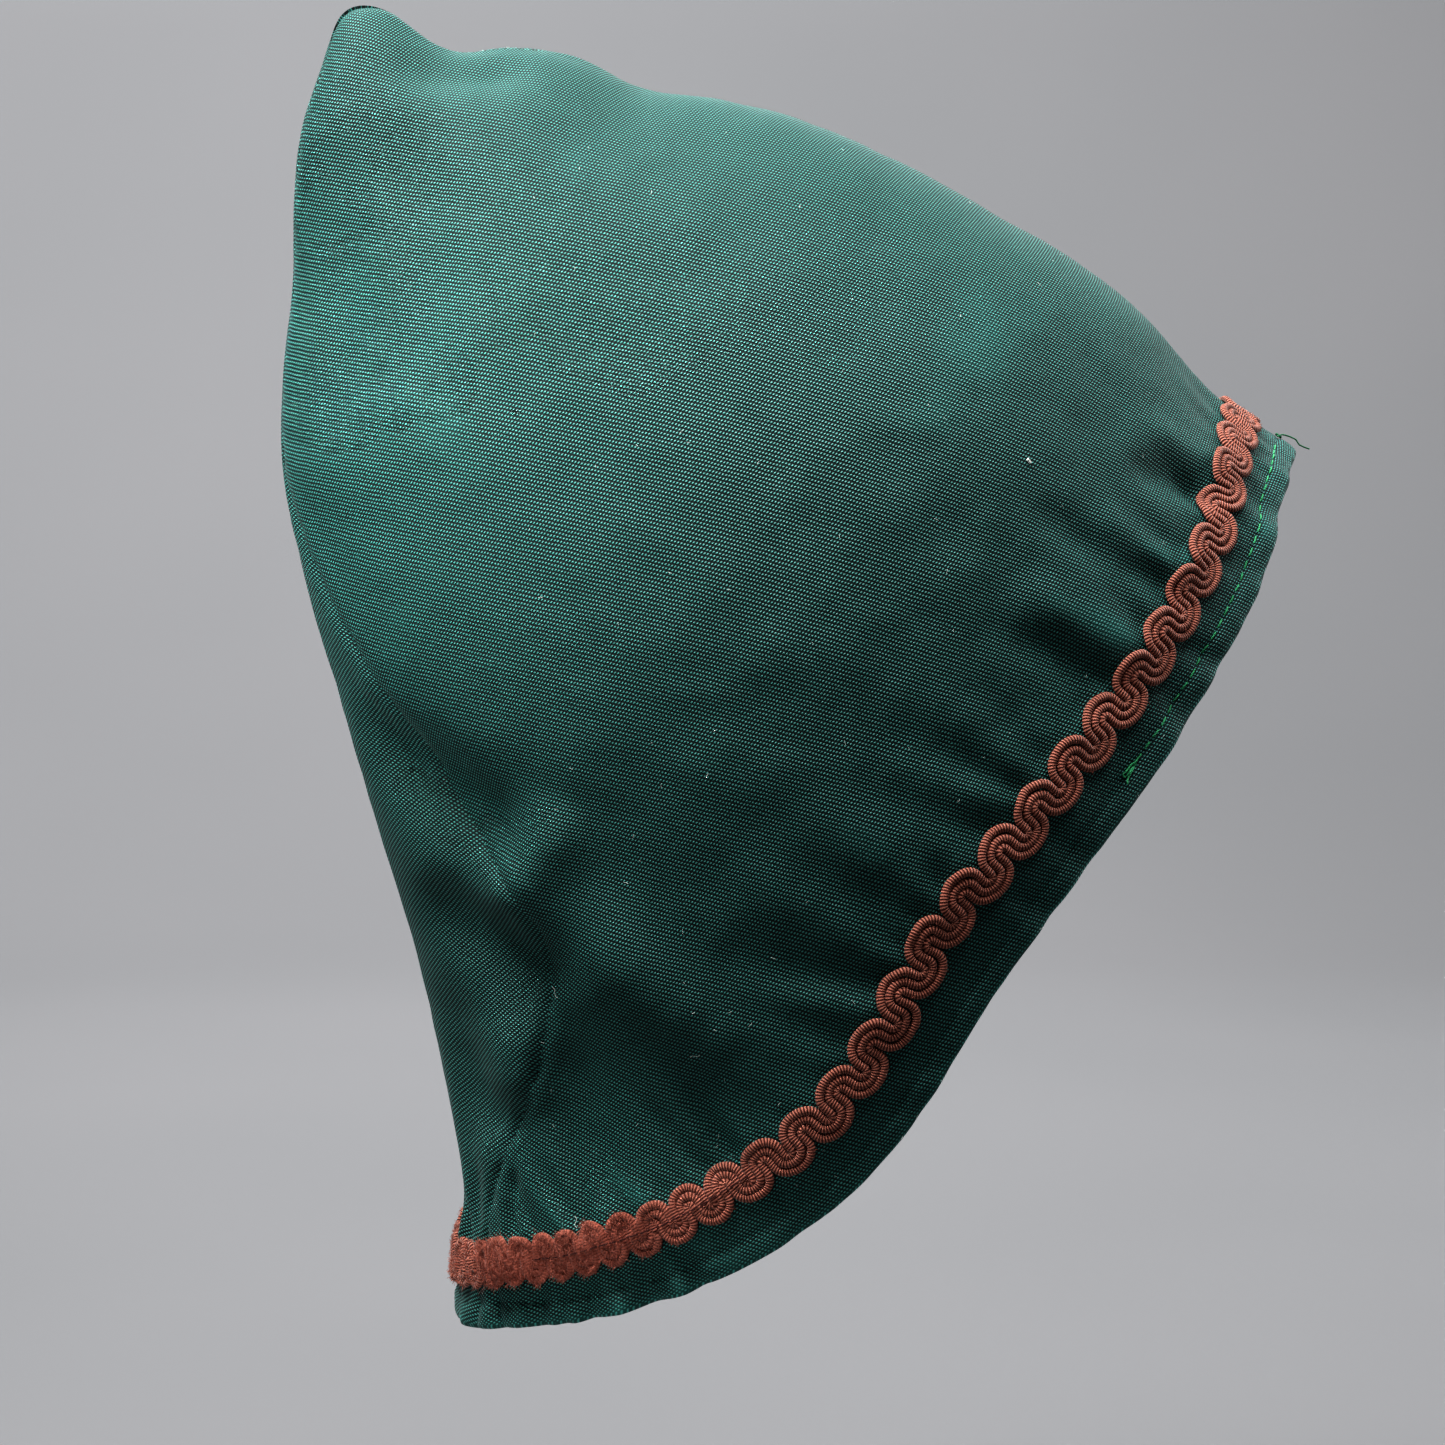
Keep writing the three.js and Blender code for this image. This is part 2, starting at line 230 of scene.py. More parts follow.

# %% Group: thread wound round a core, with painted highlights and painted shade
wound_group, wound, given, result = new_group(
    "wound thread",
    {
        "Place": "vector",
        "Color": "colour",
        "Groove Shade": "colour",
        "Crest Highlight": "colour",
        "Pitch": "number",
    },
    {"Color": "colour", "Height": "number"},
)
HAIR_SHARE = 0.4
split = wound.node("SeparateXYZ", {0: given["Place"]}).outputs
phase = wound.math("MULTIPLY", wound.math("DIVIDE", split[0], given["Pitch"]), TURN)
wave = wound.math(
    "ADD",
    wound.math("MULTIPLY", wound.math("SINE", phase), split[1]),
    wound.math("MULTIPLY", wound.math("COSINE", phase), split[2]),
)
ridge = wound.span(wave, -1.0, 1.0)
hair = wound.noise(given["Place"], 1900.0, 3.0)
height = wound.math("ADD", ridge, wound.math("MULTIPLY", hair, HAIR_SHARE))
wound_group.links.new(height, result["Height"])
# A painted shade darkens the grooves between the windings and a painted highlight lightens their tops
low = wound.blend(wound.span(height, 0.25, 0.75), given["Groove Shade"], given["Color"])
full = wound.blend(wound.span(height, 0.95, 1.35), low, given["Crest Highlight"])
wound_group.links.new(full, result["Color"])
print("group", wound_group.name)

# %% Material: green twill
GREEN = (0.004, 0.058, 0.049, 1)
# Painted shade for the valleys between the ribs and a painted highlight for the crests of the floats
GREEN_VALLEY_SHADE = (0.0005, 0.005, 0.0048, 1)
GREEN_CREST_HIGHLIGHT = (0.07, 0.33, 0.29, 1)
GREEN_PALE = (0.007, 0.085, 0.07, 1)


def new_material(name, roughness, sheen=0.0, sheen_roughness=0.5, specular=0.5):
    """A material with one shader whose plain numbers are set on the shader itself"""
    material = bpy.data.materials.new(name)
    material.use_nodes = True
    shader = material.node_tree.nodes["Principled BSDF"].inputs
    shader["Roughness"].default_value = roughness
    shader["Sheen Weight"].default_value = sheen
    shader["Sheen Roughness"].default_value = sheen_roughness
    shader["Specular IOR Level"].default_value = specular
    return material, Tree(material.node_tree), shader


def place_of(tree, title):
    """The coordinates that a mesh carries in a named attribute"""
    return tree.node("Attribute", attribute_name=title, attribute_type="GEOMETRY").outputs["Vector"]


def bump(tree, height, strength, depth):
    sockets = {"Height": height, "Strength": strength, "Distance": depth}
    return tree.node("Bump", sockets).outputs["Normal"]


RIB_PITCH = 0.97 * MM
RIB_DEPTH = 0.22 * MM
FLOAT_LENGTH = 0.8 * MM
SHEEN_AND_WEAR_SHARE = 0.35
green_twill, tree, shader = new_material(
    "green_twill", 0.55, sheen=0.05, sheen_roughness=0.4, specular=0.33
)
place = place_of(tree, "flat_place")
zone = tree.node("SeparateXYZ", {0: place_of(tree, "cloth_zone")}).outputs
base = tree.group(
    drift_group,
    {"Place": place, "Color": GREEN, "Pale": GREEN_PALE, "Scale": 26.0, "Amount": 0.5},
)["Color"]
weave = tree.group(
    twill_group,
    {
        "Place": place,
        "Color": base,
        "Valley Shade": GREEN_VALLEY_SHADE,
        "Crest Highlight": GREEN_CREST_HIGHLIGHT,
        "Rib": RIB_PITCH,
        "Float": FLOAT_LENGTH,
        "Contrast": 0.95,
    },
)
# A painted sheen lightens the raised ridges, and wear lightens the front edge, towards the crest
# highlight's colour
sheen_and_wear = tree.math("MULTIPLY", tree.span(zone[2], 0.0, 1.0), SHEEN_AND_WEAR_SHARE)
colour = tree.blend(sheen_and_wear, weave["Color"], GREEN_CREST_HIGHLIGHT)
green_twill.node_tree.links.new(colour, shader["Base Color"])
rough = tree.span(weave["Height"], 0.2, 1.1, 0.8, 0.42)
green_twill.node_tree.links.new(rough, shader["Roughness"])
green_twill.node_tree.links.new(bump(tree, weave["Height"], 0.8, RIB_DEPTH), shader["Normal"])
print("material", green_twill.name)

# %% Material: rust gimp cord
RUST = (0.29, 0.090, 0.060, 1)
# Painted shade for the grooves between the windings and a painted highlight for their crests
RUST_GROOVE_SHADE = (0.042, 0.010, 0.009, 1)
RUST_CREST_HIGHLIGHT = (0.64, 0.30, 0.21, 1)
RUST_PALE = (0.36, 0.13, 0.092, 1)
THREAD_ROUGHNESS = 0.8


def thread_material(name, colour, groove, crest, pale, pitch, depth):
    """A material for anything wound or spun: a colour that drifts, and a wound thread with painted shade in
    its grooves and a painted highlight on its crests
    """
    material, tree, shader = new_material(
        name, THREAD_ROUGHNESS, sheen=0.2, sheen_roughness=0.4, specular=0.2
    )
    place = place_of(tree, "cord_place")
    where = tree.node("TexCoord").outputs["Object"]
    base = tree.group(
        drift_group,
        {"Place": where, "Color": colour, "Pale": pale, "Scale": 90.0, "Amount": 0.6},
    )["Color"]
    spun = tree.group(
        wound_group,
        {"Place": place, "Color": base, "Groove Shade": groove, "Crest Highlight": crest, "Pitch": pitch},
    )
    links = material.node_tree.links
    links.new(spun["Color"], shader["Base Color"])
    rough = tree.span(spun["Height"], 0.2, 1.3, THREAD_ROUGHNESS + 0.12, THREAD_ROUGHNESS - 0.12)
    links.new(rough, shader["Roughness"])
    links.new(bump(tree, spun["Height"], 0.9, depth), shader["Normal"])
    print("material", material.name)
    return material


WINDING_PITCH = 0.72 * MM
WINDING_DEPTH = 0.3 * MM
rust_gimp = thread_material(
    "rust_gimp", RUST, RUST_GROOVE_SHADE, RUST_CREST_HIGHLIGHT, RUST_PALE, WINDING_PITCH, WINDING_DEPTH
)

# %% Materials: sewing threads and lint
# Each thread: its colour, the painted shade of its grooves and the painted highlight of its crests, a paler
# colour, its twist and its depth
rust_sewing = thread_material(
    "rust_sewing_thread",
    (0.06, 0.014, 0.012, 1),
    (0.02, 0.005, 0.004, 1),
    (0.12, 0.03, 0.024, 1),
    (0.08, 0.02, 0.016, 1),
    0.4 * MM,
    0.06 * MM,
)
pale_thread = thread_material(
    "pale_green_thread",
    (0.045, 0.36, 0.15, 1),
    (0.012, 0.12, 0.05, 1),
    (0.17, 0.62, 0.32, 1),
    (0.07, 0.44, 0.2, 1),
    0.45 * MM,
    0.05 * MM,
)
dark_thread = thread_material(
    "dark_green_thread",
    (0.012, 0.10, 0.04, 1),
    (0.004, 0.035, 0.015, 1),
    (0.03, 0.2, 0.09, 1),
    (0.018, 0.13, 0.06, 1),
    0.45 * MM,
    0.05 * MM,
)
lint_white = thread_material(
    "lint",
    (0.62, 0.66, 0.62, 1),
    (0.4, 0.44, 0.4, 1),
    (0.8, 0.82, 0.8, 1),
    (0.7, 0.72, 0.7, 1),
    0.5 * MM,
    0.03 * MM,
)

# %% Studio: the pale bowl
BOWL_FLOOR = -0.43
BOWL_FLAT = 1.5
BOWL_CURVE = 0.9
BOWL_TOP = 2.2
BOWL_SIDES = 96
BEND_STEPS = 16

studio_floor, tree, shader = new_material("studio_floor", 0.9)
where = tree.node("TexCoord").outputs["Object"]
paint = tree.group(
    drift_group,
    {
        "Place": where,
        "Color": (0.105, 0.107, 0.111, 1),
        "Pale": (0.12, 0.12, 0.124, 1),
        "Scale": 0.8,
        "Amount": 1.0,
    },
)["Color"]
studio_floor.node_tree.links.new(paint, shader["Base Color"])

bend = np.linspace(0, math.pi / 2, BEND_STEPS)
radii = np.concatenate([[0.4, 0.9], BOWL_FLAT + BOWL_CURVE * np.sin(bend), [BOWL_FLAT + BOWL_CURVE]])
rises = np.concatenate([[0, 0], BOWL_CURVE * (1 - np.cos(bend)), [BOWL_TOP]]) + BOWL_FLOOR
round_bowl = np.linspace(0, TURN, BOWL_SIDES, endpoint=False)
rings = [
    np.stack([r * np.cos(round_bowl), r * np.sin(round_bowl), np.full(BOWL_SIDES, z)], axis=1)
    for r, z in zip(radii, rises)
]
bowl_points = np.concatenate([[[0, 0, BOWL_FLOOR]]] + rings)
bowl_faces = [(0, 1 + k, 1 + (k + 1) % BOWL_SIDES) for k in range(BOWL_SIDES)]
# The quads are turned over, so that they face the same way as the fan in the middle
bowl_faces += (1 + ring_quads(len(rings), BOWL_SIDES)[:, [0, 3, 2, 1]]).tolist()
bowl = mesh_object("studio_bowl", bowl_points, bowl_faces)
bowl.data.materials.append(studio_floor)
print("floor at", BOWL_FLOOR, "m")

# %% Studio: lamps


def area_lamp(name, place, at, size, power, spread=math.pi):
    """A square lamp at a place, aimed at a point"""
    data = bpy.data.lights.new(name, "AREA")
    data.size = size
    data.energy = power
    data.spread = spread
    lamp = bpy.data.objects.new(name, data)
    lamp.location = place
    aim(lamp, at)
    bpy.context.collection.objects.link(lamp)


# Each large lamp: name, azimuth and elevation in degrees, distance, size and power
LAMPS = [
    ("key", -170, 65, 1.2, 0.55, 35.0),
    ("top", -40, 72, 1.3, 0.8, 15.0),
    ("front", 12, 15, 1.6, 1.0, 9.0),
    ("back", 70, 35, 1.5, 1.0, 5.0),
]
for name, azimuth, elevation, distance, size, power in LAMPS:
    place = from_angles(math.radians(azimuth), math.radians(elevation), distance)
    area_lamp(name, place, TARGET, size, power)

# Small lamps with a narrow spread lift the upper back and the hem at the nape:
# name, azimuth and elevation in degrees, the point lit and power
NARROW_LAMPS = [
    ("upper_back", -140, 14, (-0.04, 0.165, -0.06), 0.09),
    ("nape_hem", -125, 1, (-0.04, 0.10, -0.31), 0.02),
]
NARROW_SPREAD = math.radians(15)
NARROW_SIZE = 0.12
NARROW_DISTANCE = 0.9
for name, azimuth, elevation, lit, power in NARROW_LAMPS:
    place = from_angles(math.radians(azimuth), math.radians(elevation), NARROW_DISTANCE)
    area_lamp(name, place, Vector(lit), NARROW_SIZE, power, NARROW_SPREAD)

# A lamp behind the hood lights only the floor and the wall in view
WASH_FROM = Vector((1.2, 0.0, 1.5))
WASH_TO = Vector((2.4, -0.3, 0.5))
WASH_SIZE = 1.2
WASH_POWER = 90.0
area_lamp("wash", WASH_FROM, WASH_TO, WASH_SIZE, WASH_POWER)
print(len(LAMPS) + len(NARROW_LAMPS) + 1, "lamps")

# %% Studio: soft light from all round
WORLD_STRENGTH = 0.045
world = bpy.data.worlds.new("studio_world")
world.use_nodes = True
background = world.node_tree.nodes["Background"].inputs
background["Color"].default_value = (0.93, 0.95, 1.0, 1)
background["Strength"].default_value = WORLD_STRENGTH
bpy.context.scene.world = world
bpy.context.scene.view_settings.view_transform = "Standard"
bpy.context.scene.view_settings.look = "High Contrast"
print("world strength", WORLD_STRENGTH)

# %% [markdown]
# ## The shape of the hood
# The hood is a stack of loops from the front edge to the peak, each given by a few named shares of the
# whole. These are the CAD model's own rows, so the cloth here lies where the solids lie. It could be
# sculpted by hand instead, but short tables give a fine grid of many points that can be changed and made
# again.

# %% Sizes of the hood in millimetres
HOOD_HEIGHT = 341
HOOD_DEPTH = 279
HALF_WIDTH = 78
HEM_DEPTH = 6.2
HEM_STEP = 1.2
BRAID_WIDTH = 10.4
BRAID_SWING = 1.5
BRAID_CLEAR = 6.4
TIP_BULGE = 6.5
FOLD_HEIGHT = 7
FOLD_WIDTH = 12
BULGE_FADE = 1.5
NOSE_POWER = 12
STEP = 1e-3
print("hood", HOOD_HEIGHT, "mm high and", HOOD_DEPTH, "mm deep")

# %% Tables of the surface


def table(names, rows):
    """Named columns from a list of rows"""
    columns = np.array(rows, dtype=float).T
    return dict(zip(names.split(), columns))


SECTIONS = table(
    "along topBack topUp napeBack napeUp width seamShift topCrease napeCrease",
    [
        [0, -0.386, -0.209, 0.453, -0.88, 0.98, 0.05, 0.95, 1],
        [0.1, -0.302, -0.166, 0.452, -0.781, 1, 0.084, 0.95, 1.05],
        [0.2, -0.227, -0.107, 0.467, -0.683, 1, 0.165, 0.95, 1.1],
        [0.3, -0.146, -0.057, 0.493, -0.586, 0.98, 0.2, 0.98, 1.15],
        [0.4, -0.059, -0.019, 0.53, -0.491, 0.93, 0.155, 1, 1.2],
        [0.5, 0.031, 0.018, 0.562, -0.396, 0.84, 0.122, 1.05, 1.25],
        [0.6, 0.125, 0.046, 0.594, -0.301, 0.72, 0.07, 1.15, 1.3],
        [0.68, 0.203, 0.058, 0.612, -0.224, 0.61, 0.02, 1.25, 1.3],
        [0.75, 0.272, 0.065, 0.611, -0.155, 0.51, 0, 1.3, 1.3],
        [0.82, 0.336, 0.088, 0.601, -0.086, 0.41, 0, 1.25, 1.25],
        [0.88, 0.395, 0.093, 0.599, -0.027, 0.32, 0, 1.15, 1.15],
        [0.94, 0.455, 0.089, 0.59, 0.031, 0.24, 0, 1, 1],
        [1, 0.505, 0.115, 0.565, 0.087, 0.18, 0, 1, 1],
    ],
)
EDGE_BULGE = table(
    "turn forward",
    [
        [0, 0],
        [0.1, -0.015],
        [0.17, -0.012],
        [0.25, 0.012],
        [0.35, 0.035],
        [0.44, 0.05],
        [0.52, 0.068],
        [0.6, 0.102],
        [0.66, 0.108],
        [0.74, 0.085],
        [0.82, 0.048],
        [0.9, 0.013],
        [1, 0],
    ],
)
BRAID_PLACE = table(
    "turn clear",
    [
        [0, 0.66],
        [0.2, 0.68],
        [0.34, 0.66],
        [0.5, 0.98],
        [0.62, 1],
        [0.75, 0.74],
        [0.9, 0.38],
        [1, 0.24],
    ],
)

# %% The large folds
# Each fold: its side, its start and its end as shares of depth back and height up, its height and its width
FOLDS = [
    [-1, 0.55, -0.42, 0.427, -0.5, -1, 0.75],
    [-1, 0.402, -0.48, 0.431, -0.56, 0.71, 0.75],
    [-1, 0.375, -0.551, 0.278, -0.66, 0.57, 0.92],
    [-1, 0.5, -0.628, 0.429, -0.717, -0.57, 0.67],
    [-1, 0.483, -0.545, 0.393, -0.603, -0.57, 0.75],
    [-1, 0.406, -0.636, 0.421, -0.7, 0.43, 0.67],
    [-1, 0.395, -0.64, 0.345, -0.76, -0.57, 0.67],
    [-1, 0.33, -0.62, 0.25, -0.74, -0.36, 0.92],
    [-1, 0.576, 0.007, 0.57, -0.19, -0.43, 0.83],
    [-1, 0.5, 0.019, 0.51, -0.16, -0.43, 1],
    [-1, 0.5, 0.07, 0.4, 0.075, -0.43, 0.5],
    [1, 0.52, -0.43, 0.4, -0.52, -0.71, 0.92],
    [1, 0.38, -0.54, 0.27, -0.66, 0.5, 1],
    [1, 0.48, -0.56, 0.37, -0.66, -0.57, 0.83],
    [1, 0.4, -0.67, 0.34, -0.78, -0.57, 0.75],
    [1, 0.56, -0.02, 0.55, -0.2, -0.43, 1],
]
# A fold fades in over these millimetres from the middle plane, and at its ends over shares of its length
FOLD_SIDE_FROM = 3
FOLD_SIDE_TO = 22
FOLD_FADES = {"before": -0.35, "full": 0.3, "still_full": 0.7, "after": 1.35}

# %% Finer creases that run to the gimp over the forehead
CREASES = [
    [-1, -0.148, -0.224, -0.235, -0.248, -0.25, 0.38],
    [-1, -0.149, -0.19, -0.252, -0.221, 0.2, 0.42],
    [-1, -0.043, -0.26, -0.177, -0.323, -0.26, 0.42],
    [-1, -0.109, -0.26, -0.195, -0.296, 0.22, 0.38],
    [-1, 0.013, -0.341, -0.099, -0.391, -0.22, 0.5],
    [-1, -0.022, -0.316, -0.13, -0.362, 0.17, 0.5],
]
print(len(FOLDS), "folds,", len(CREASES), "creases")

# %% Curves through the tables


def read(rows, key, name, at):
    """A smooth curve through the rows of a table, read at any places"""
    keys, values = rows[key], rows[name]
    last = len(keys) - 1
    low = np.maximum(np.arange(last + 1) - 1, 0)
    high = np.minimum(np.arange(last + 1) + 1, last)
    slopes = (values[high] - values[low]) / (keys[high] - keys[low])
    i = np.clip(np.searchsorted(keys[1:-1], at, side="left"), 0, last - 1)
    span = keys[i + 1] - keys[i]
    t = (at - keys[i]) / span
    t2 = t * t
    t3 = t2 * t
    return (
        (2 * t3 - 3 * t2 + 1) * values[i]
        + (t3 - 2 * t2 + t) * span * slopes[i]
        + (3 * t2 - 2 * t3) * values[i + 1]
        + (t3 - t2) * span * slopes[i + 1]
    )


def smooth(low, high, value):
    t = np.clip((value - low) / (high - low), 0, 1)
    return t * t * (3 - 2 * t)


def wrap(turn):
    return np.where(turn > 1, turn - 2, np.where(turn < -1, turn + 2, turn))


def section(name, along):
    return read(SECTIONS, "along", name, along)


# %% The surface before folds


def base_point(along, turn):
    """Points in millimetres. Turn runs from -1 to 1 round a loop, 0 at the top, positive on the right"""
    t = wrap(turn)
    side = np.where(t < 0, 1.0, -1.0)
    part = np.abs(t)
    angle = part * math.pi
    crease = section("topCrease", along) * (1 - part) + section("napeCrease", along) * part
    nose = np.sqrt(np.maximum(1 - np.maximum(along, 0) ** NOSE_POWER, 0))
    sine = np.maximum(np.sin(angle), 0)
    out = HALF_WIDTH * section("width", along) * nose * sine**crease
    top_y = section("topBack", along) * HOOD_DEPTH
    top_z = section("topUp", along) * HOOD_HEIGHT
    nape_y = section("napeBack", along) * HOOD_DEPTH
    nape_z = section("napeUp", along) * HOOD_HEIGHT
    half_y, half_z = (top_y - nape_y) / 2, (top_z - nape_z) / 2
    length = np.hypot(half_y, half_z)
    bulge = read(EDGE_BULGE, "turn", "forward", part) * HOOD_DEPTH
    tip = TIP_BULGE * np.maximum(along, 0) ** NOSE_POWER * sine**2
    forward = bulge * (1 - np.minimum(along, 1)) ** BULGE_FADE - tip
    y = (top_y + nape_y) / 2 + half_y * np.cos(angle) - half_z / length * forward
    z = (top_z + nape_z) / 2 + half_z * np.cos(angle) + half_y / length * forward
    return np.stack([side * out, y, z], axis=-1)


def unit(vectors):
    return vectors / np.maximum(np.linalg.norm(vectors, axis=-1, keepdims=True), 1e-9)


TIP_REACH = 0.02


def outward(along, turn):
    """Outward directions of the surface before folds"""
    at = np.minimum(along, 1 - STEP)
    before = np.maximum(at - STEP, 0)
    across = base_point(at + STEP, turn) - base_point(before, turn)
    around = base_point(at, turn + STEP) - base_point(at, turn - STEP)
    normal = unit(np.cross(across, around))
    ones = np.ones_like(along)
    a = base_point(ones, np.maximum(np.abs(turn) - TIP_REACH, 0))
    b = base_point(ones, np.minimum(np.abs(turn) + TIP_REACH, 1))
    flat = np.stack([np.zeros_like(along), a[..., 2] - b[..., 2], b[..., 1] - a[..., 1]], axis=-1)
    return np.where((along > 1 - STEP)[..., None], unit(flat), normal)


def fold_height(p, folds):
    """Height of a table's folds at points of the surface before folds"""
    height = np.zeros(p.shape[:-1])
    for side, from_back, from_up, to_back, to_up, tall, wide in folds:
        weight = smooth(FOLD_SIDE_FROM, FOLD_SIDE_TO, p[..., 0] * side)
        from_y, from_z = from_back * HOOD_DEPTH, from_up * HOOD_HEIGHT
        line_y, line_z = to_back * HOOD_DEPTH - from_y, to_up * HOOD_HEIGHT - from_z
        dy, dz = p[..., 1] - from_y, p[..., 2] - from_z
        t = (dy * line_y + dz * line_z) / (line_y**2 + line_z**2)
        near = np.clip(t, 0, 1)
        away = np.hypot(dy - near * line_y, dz - near * line_z)
        ends = smooth(FOLD_FADES["before"], FOLD_FADES["full"], t)
        ends = ends * smooth(FOLD_FADES["after"], FOLD_FADES["still_full"], t)
        height += weight * ends * tall * FOLD_HEIGHT * np.exp(-((away / (wide * FOLD_WIDTH)) ** 2))
    return height


def surface_point(along, turn):
    p = base_point(along, turn)
    return p + outward(along, turn) * fold_height(p, FOLDS)[..., None]


print("top of the forehead edge", surface_point(np.zeros(1), np.zeros(1)).round(1))

# %% [markdown]
# ## The two panels
# On the real hood each side is one piece of cloth with a turned hem, gathered where the gimp is sewn on.
# It could be draped by a cloth simulation, but the folds would then not lie where the real ones do. So
# each panel is a grid of points with rows that follow the hem, close together there and wider apart
# above. The outer side, the inner side and the rounded hem fold are one closed skin, as real cloth has
# two sides and a thickness.

# %% The grid of one panel
COLUMNS = 280
NEAR_STEP = 0.95
NEAR_ROWS = 38
UPPER_ROWS = 124
SEAM_CROWDING = 0.3
UPPER_CROWDING = 0.5
NEAR = np.arange(NEAR_ROWS) * NEAR_STEP
ROWS = NEAR_ROWS + UPPER_ROWS
REACH_AT = 0.06
print("grid of", COLUMNS + 1, "columns and", ROWS, "rows")


def reach_of(turn):
    """Millimetres of cloth square to the front edge for a full step of along"""
    none = np.zeros_like(turn)
    up = surface_point(np.full_like(turn, REACH_AT), turn) - surface_point(none, turn)
    edge = unit(surface_point(none, turn + STEP) - surface_point(none, turn - STEP))
    square = up - edge * (up * edge).sum(axis=-1, keepdims=True)
    return np.linalg.norm(square, axis=-1) / REACH_AT


def crowd(t, amount):
    """Shares from 0 to 1 that lie closer together at both ends"""
    return t - amount * np.sin(TURN * t) / TURN


def turn_at(side, across, along):
    shift = np.maximum(section("seamShift", np.clip(along, 0, 1)), 0)
    return -side * across * (1 + side * shift)


def panel_rows(side):
    """Along and turn of every point of a panel, columns first, and the distance from the front edge"""
    across = crowd(np.linspace(0, 1, COLUMNS + 1), SEAM_CROWDING)
    reach = reach_of(turn_at(side, across, np.zeros_like(across)))
    near = NEAR[None, :] / reach[:, None]
    start = near[:, -1:]
    upper = crowd(np.arange(1, UPPER_ROWS + 1) / UPPER_ROWS, UPPER_CROWDING)
    along = np.concatenate([near, start + (1 - start) * upper[None, :]], axis=1)
    turn = turn_at(side, across[:, None], along)
    return across, along, turn, along * reach[:, None]


# %% Repeatable unevenness
NOISE_CELLS = 64


def value_noise(x, y, pitch, seed):
    """Smooth noise from -1 to 1 on a plane, with one hill about every pitch"""
    grid = np.random.default_rng(seed).uniform(-1, 1, (NOISE_CELLS, NOISE_CELLS))
    u, v = x / pitch, y / pitch
    i, j = np.floor(u).astype(int), np.floor(v).astype(int)
    f, g = smooth(0, 1, u - i), smooth(0, 1, v - j)
    i, j, i_next, j_next = (k % NOISE_CELLS for k in (i, j, i + 1, j + 1))
    low = grid[i, j] * (1 - f) + grid[i_next, j] * f
    high = grid[i, j_next] * (1 - f) + grid[i_next, j_next] * f
    return low * (1 - g) + high * g


# %% Where the gimp runs and where the cloth is gathered
NAPE_FROM = 0.66
NAPE_FULL = 0.88
FOREHEAD_GATHER = 0.25


def braid_middle(turn):
    clear = BRAID_CLEAR * read(BRAID_PLACE, "turn", "clear", np.abs(wrap(turn)))
    return HEM_DEPTH + HEM_STEP + clear + BRAID_WIDTH / 2 + BRAID_SWING


def nape_share(across):
    """How gathered the cloth is: little over the forehead, fully at the nape"""
    return FOREHEAD_GATHER + (1 - FOREHEAD_GATHER) * smooth(NAPE_FROM, NAPE_FULL, across)


# %% Gathers at the gimp
# Valleys in millimetres, each size drawn between two limits and changed by how gathered the cloth is
GATHER_START = 3.0
UPWARD_SHARE = 0.58
GATHER_REACH = (12, 30)
NAPE_REACH = 24
GATHER_WIDTH = (1.6, 2.8)
LOOSE_WIDTH = 1.2
GATHER_DEPTH = (0.4, 1.0)
DEPTH_SHARES = (1.25, 0.9)
GATHER_LEAN = (-0.35, 0.35)
GATHER_APART = (2.2, 6.5)
APART_SHARE = 1.75
UP_CLEAR = 3.5
HEM_CLEAR = 5.5
HEM_SHARE = 0.7
FAN_LENGTH = 30
RIDGE_SHARE = 0.45
RIDGE_ASIDE = 1.7


def gathers(points, across, length, middle, seed):
    """Short valleys that run square to the gimp, up into the cloth and down to the hem"""
    rng = np.random.default_rng(seed)
    edge = unit(np.gradient(points[:, NEAR_ROWS // 2], axis=0))
    up = points[:, NEAR_ROWS - 1] - points[:, NEAR_ROWS // 2]
    up = unit(up - edge * (up * edge).sum(axis=-1, keepdims=True))
    height = np.zeros(points.shape[:2])
    at = GATHER_START
    while at < length[-1]:
        full = float(nape_share(np.interp(at, length, across)))
        upward = rng.uniform() < UPWARD_SHARE
        reach = rng.uniform(*GATHER_REACH) + NAPE_REACH * full * rng.uniform()
        width = rng.uniform(*GATHER_WIDTH) + LOOSE_WIDTH * (1 - full)
        deep = rng.uniform(*GATHER_DEPTH) * (DEPTH_SHARES[0] + DEPTH_SHARES[1] * full)
        lean = rng.uniform(*GATHER_LEAN)
        column = int(np.searchsorted(length, at))
        root = points[column, int(middle[column] / NEAR_STEP)]
        aside = (points - root) @ edge[column]
        if upward:
            past = (points - root) @ up[column] - UP_CLEAR
            fade = smooth(-4, 4, past) * np.exp(-((np.maximum(past, 0) / reach) ** 2))
        else:
            past = (root - points) @ up[column] - HEM_CLEAR
            fade = smooth(-4, 3, past)
            deep *= HEM_SHARE
        spread = width * (1 + np.maximum(past, 0) / FAN_LENGTH)
        away = (aside - lean * past) / spread
        height -= deep * fade * np.exp(-(away**2))
        height += RIDGE_SHARE * deep * fade * np.exp(-((away - RIDGE_ASIDE) ** 2))
        at += rng.uniform(*GATHER_APART) * (APART_SHARE - full)
    return height


# %% The dip of the seam
SEAM_GROOVE = 1.0
GROOVE_WIDTH = 1.5
SEAM_ROLL = 0.35
ROLL_AT = 4.5
ROLL_WIDTH = 2.2
PUCKER = 0.4
PUCKER_SHORT = 2.1
PUCKER_LONG = 7.3


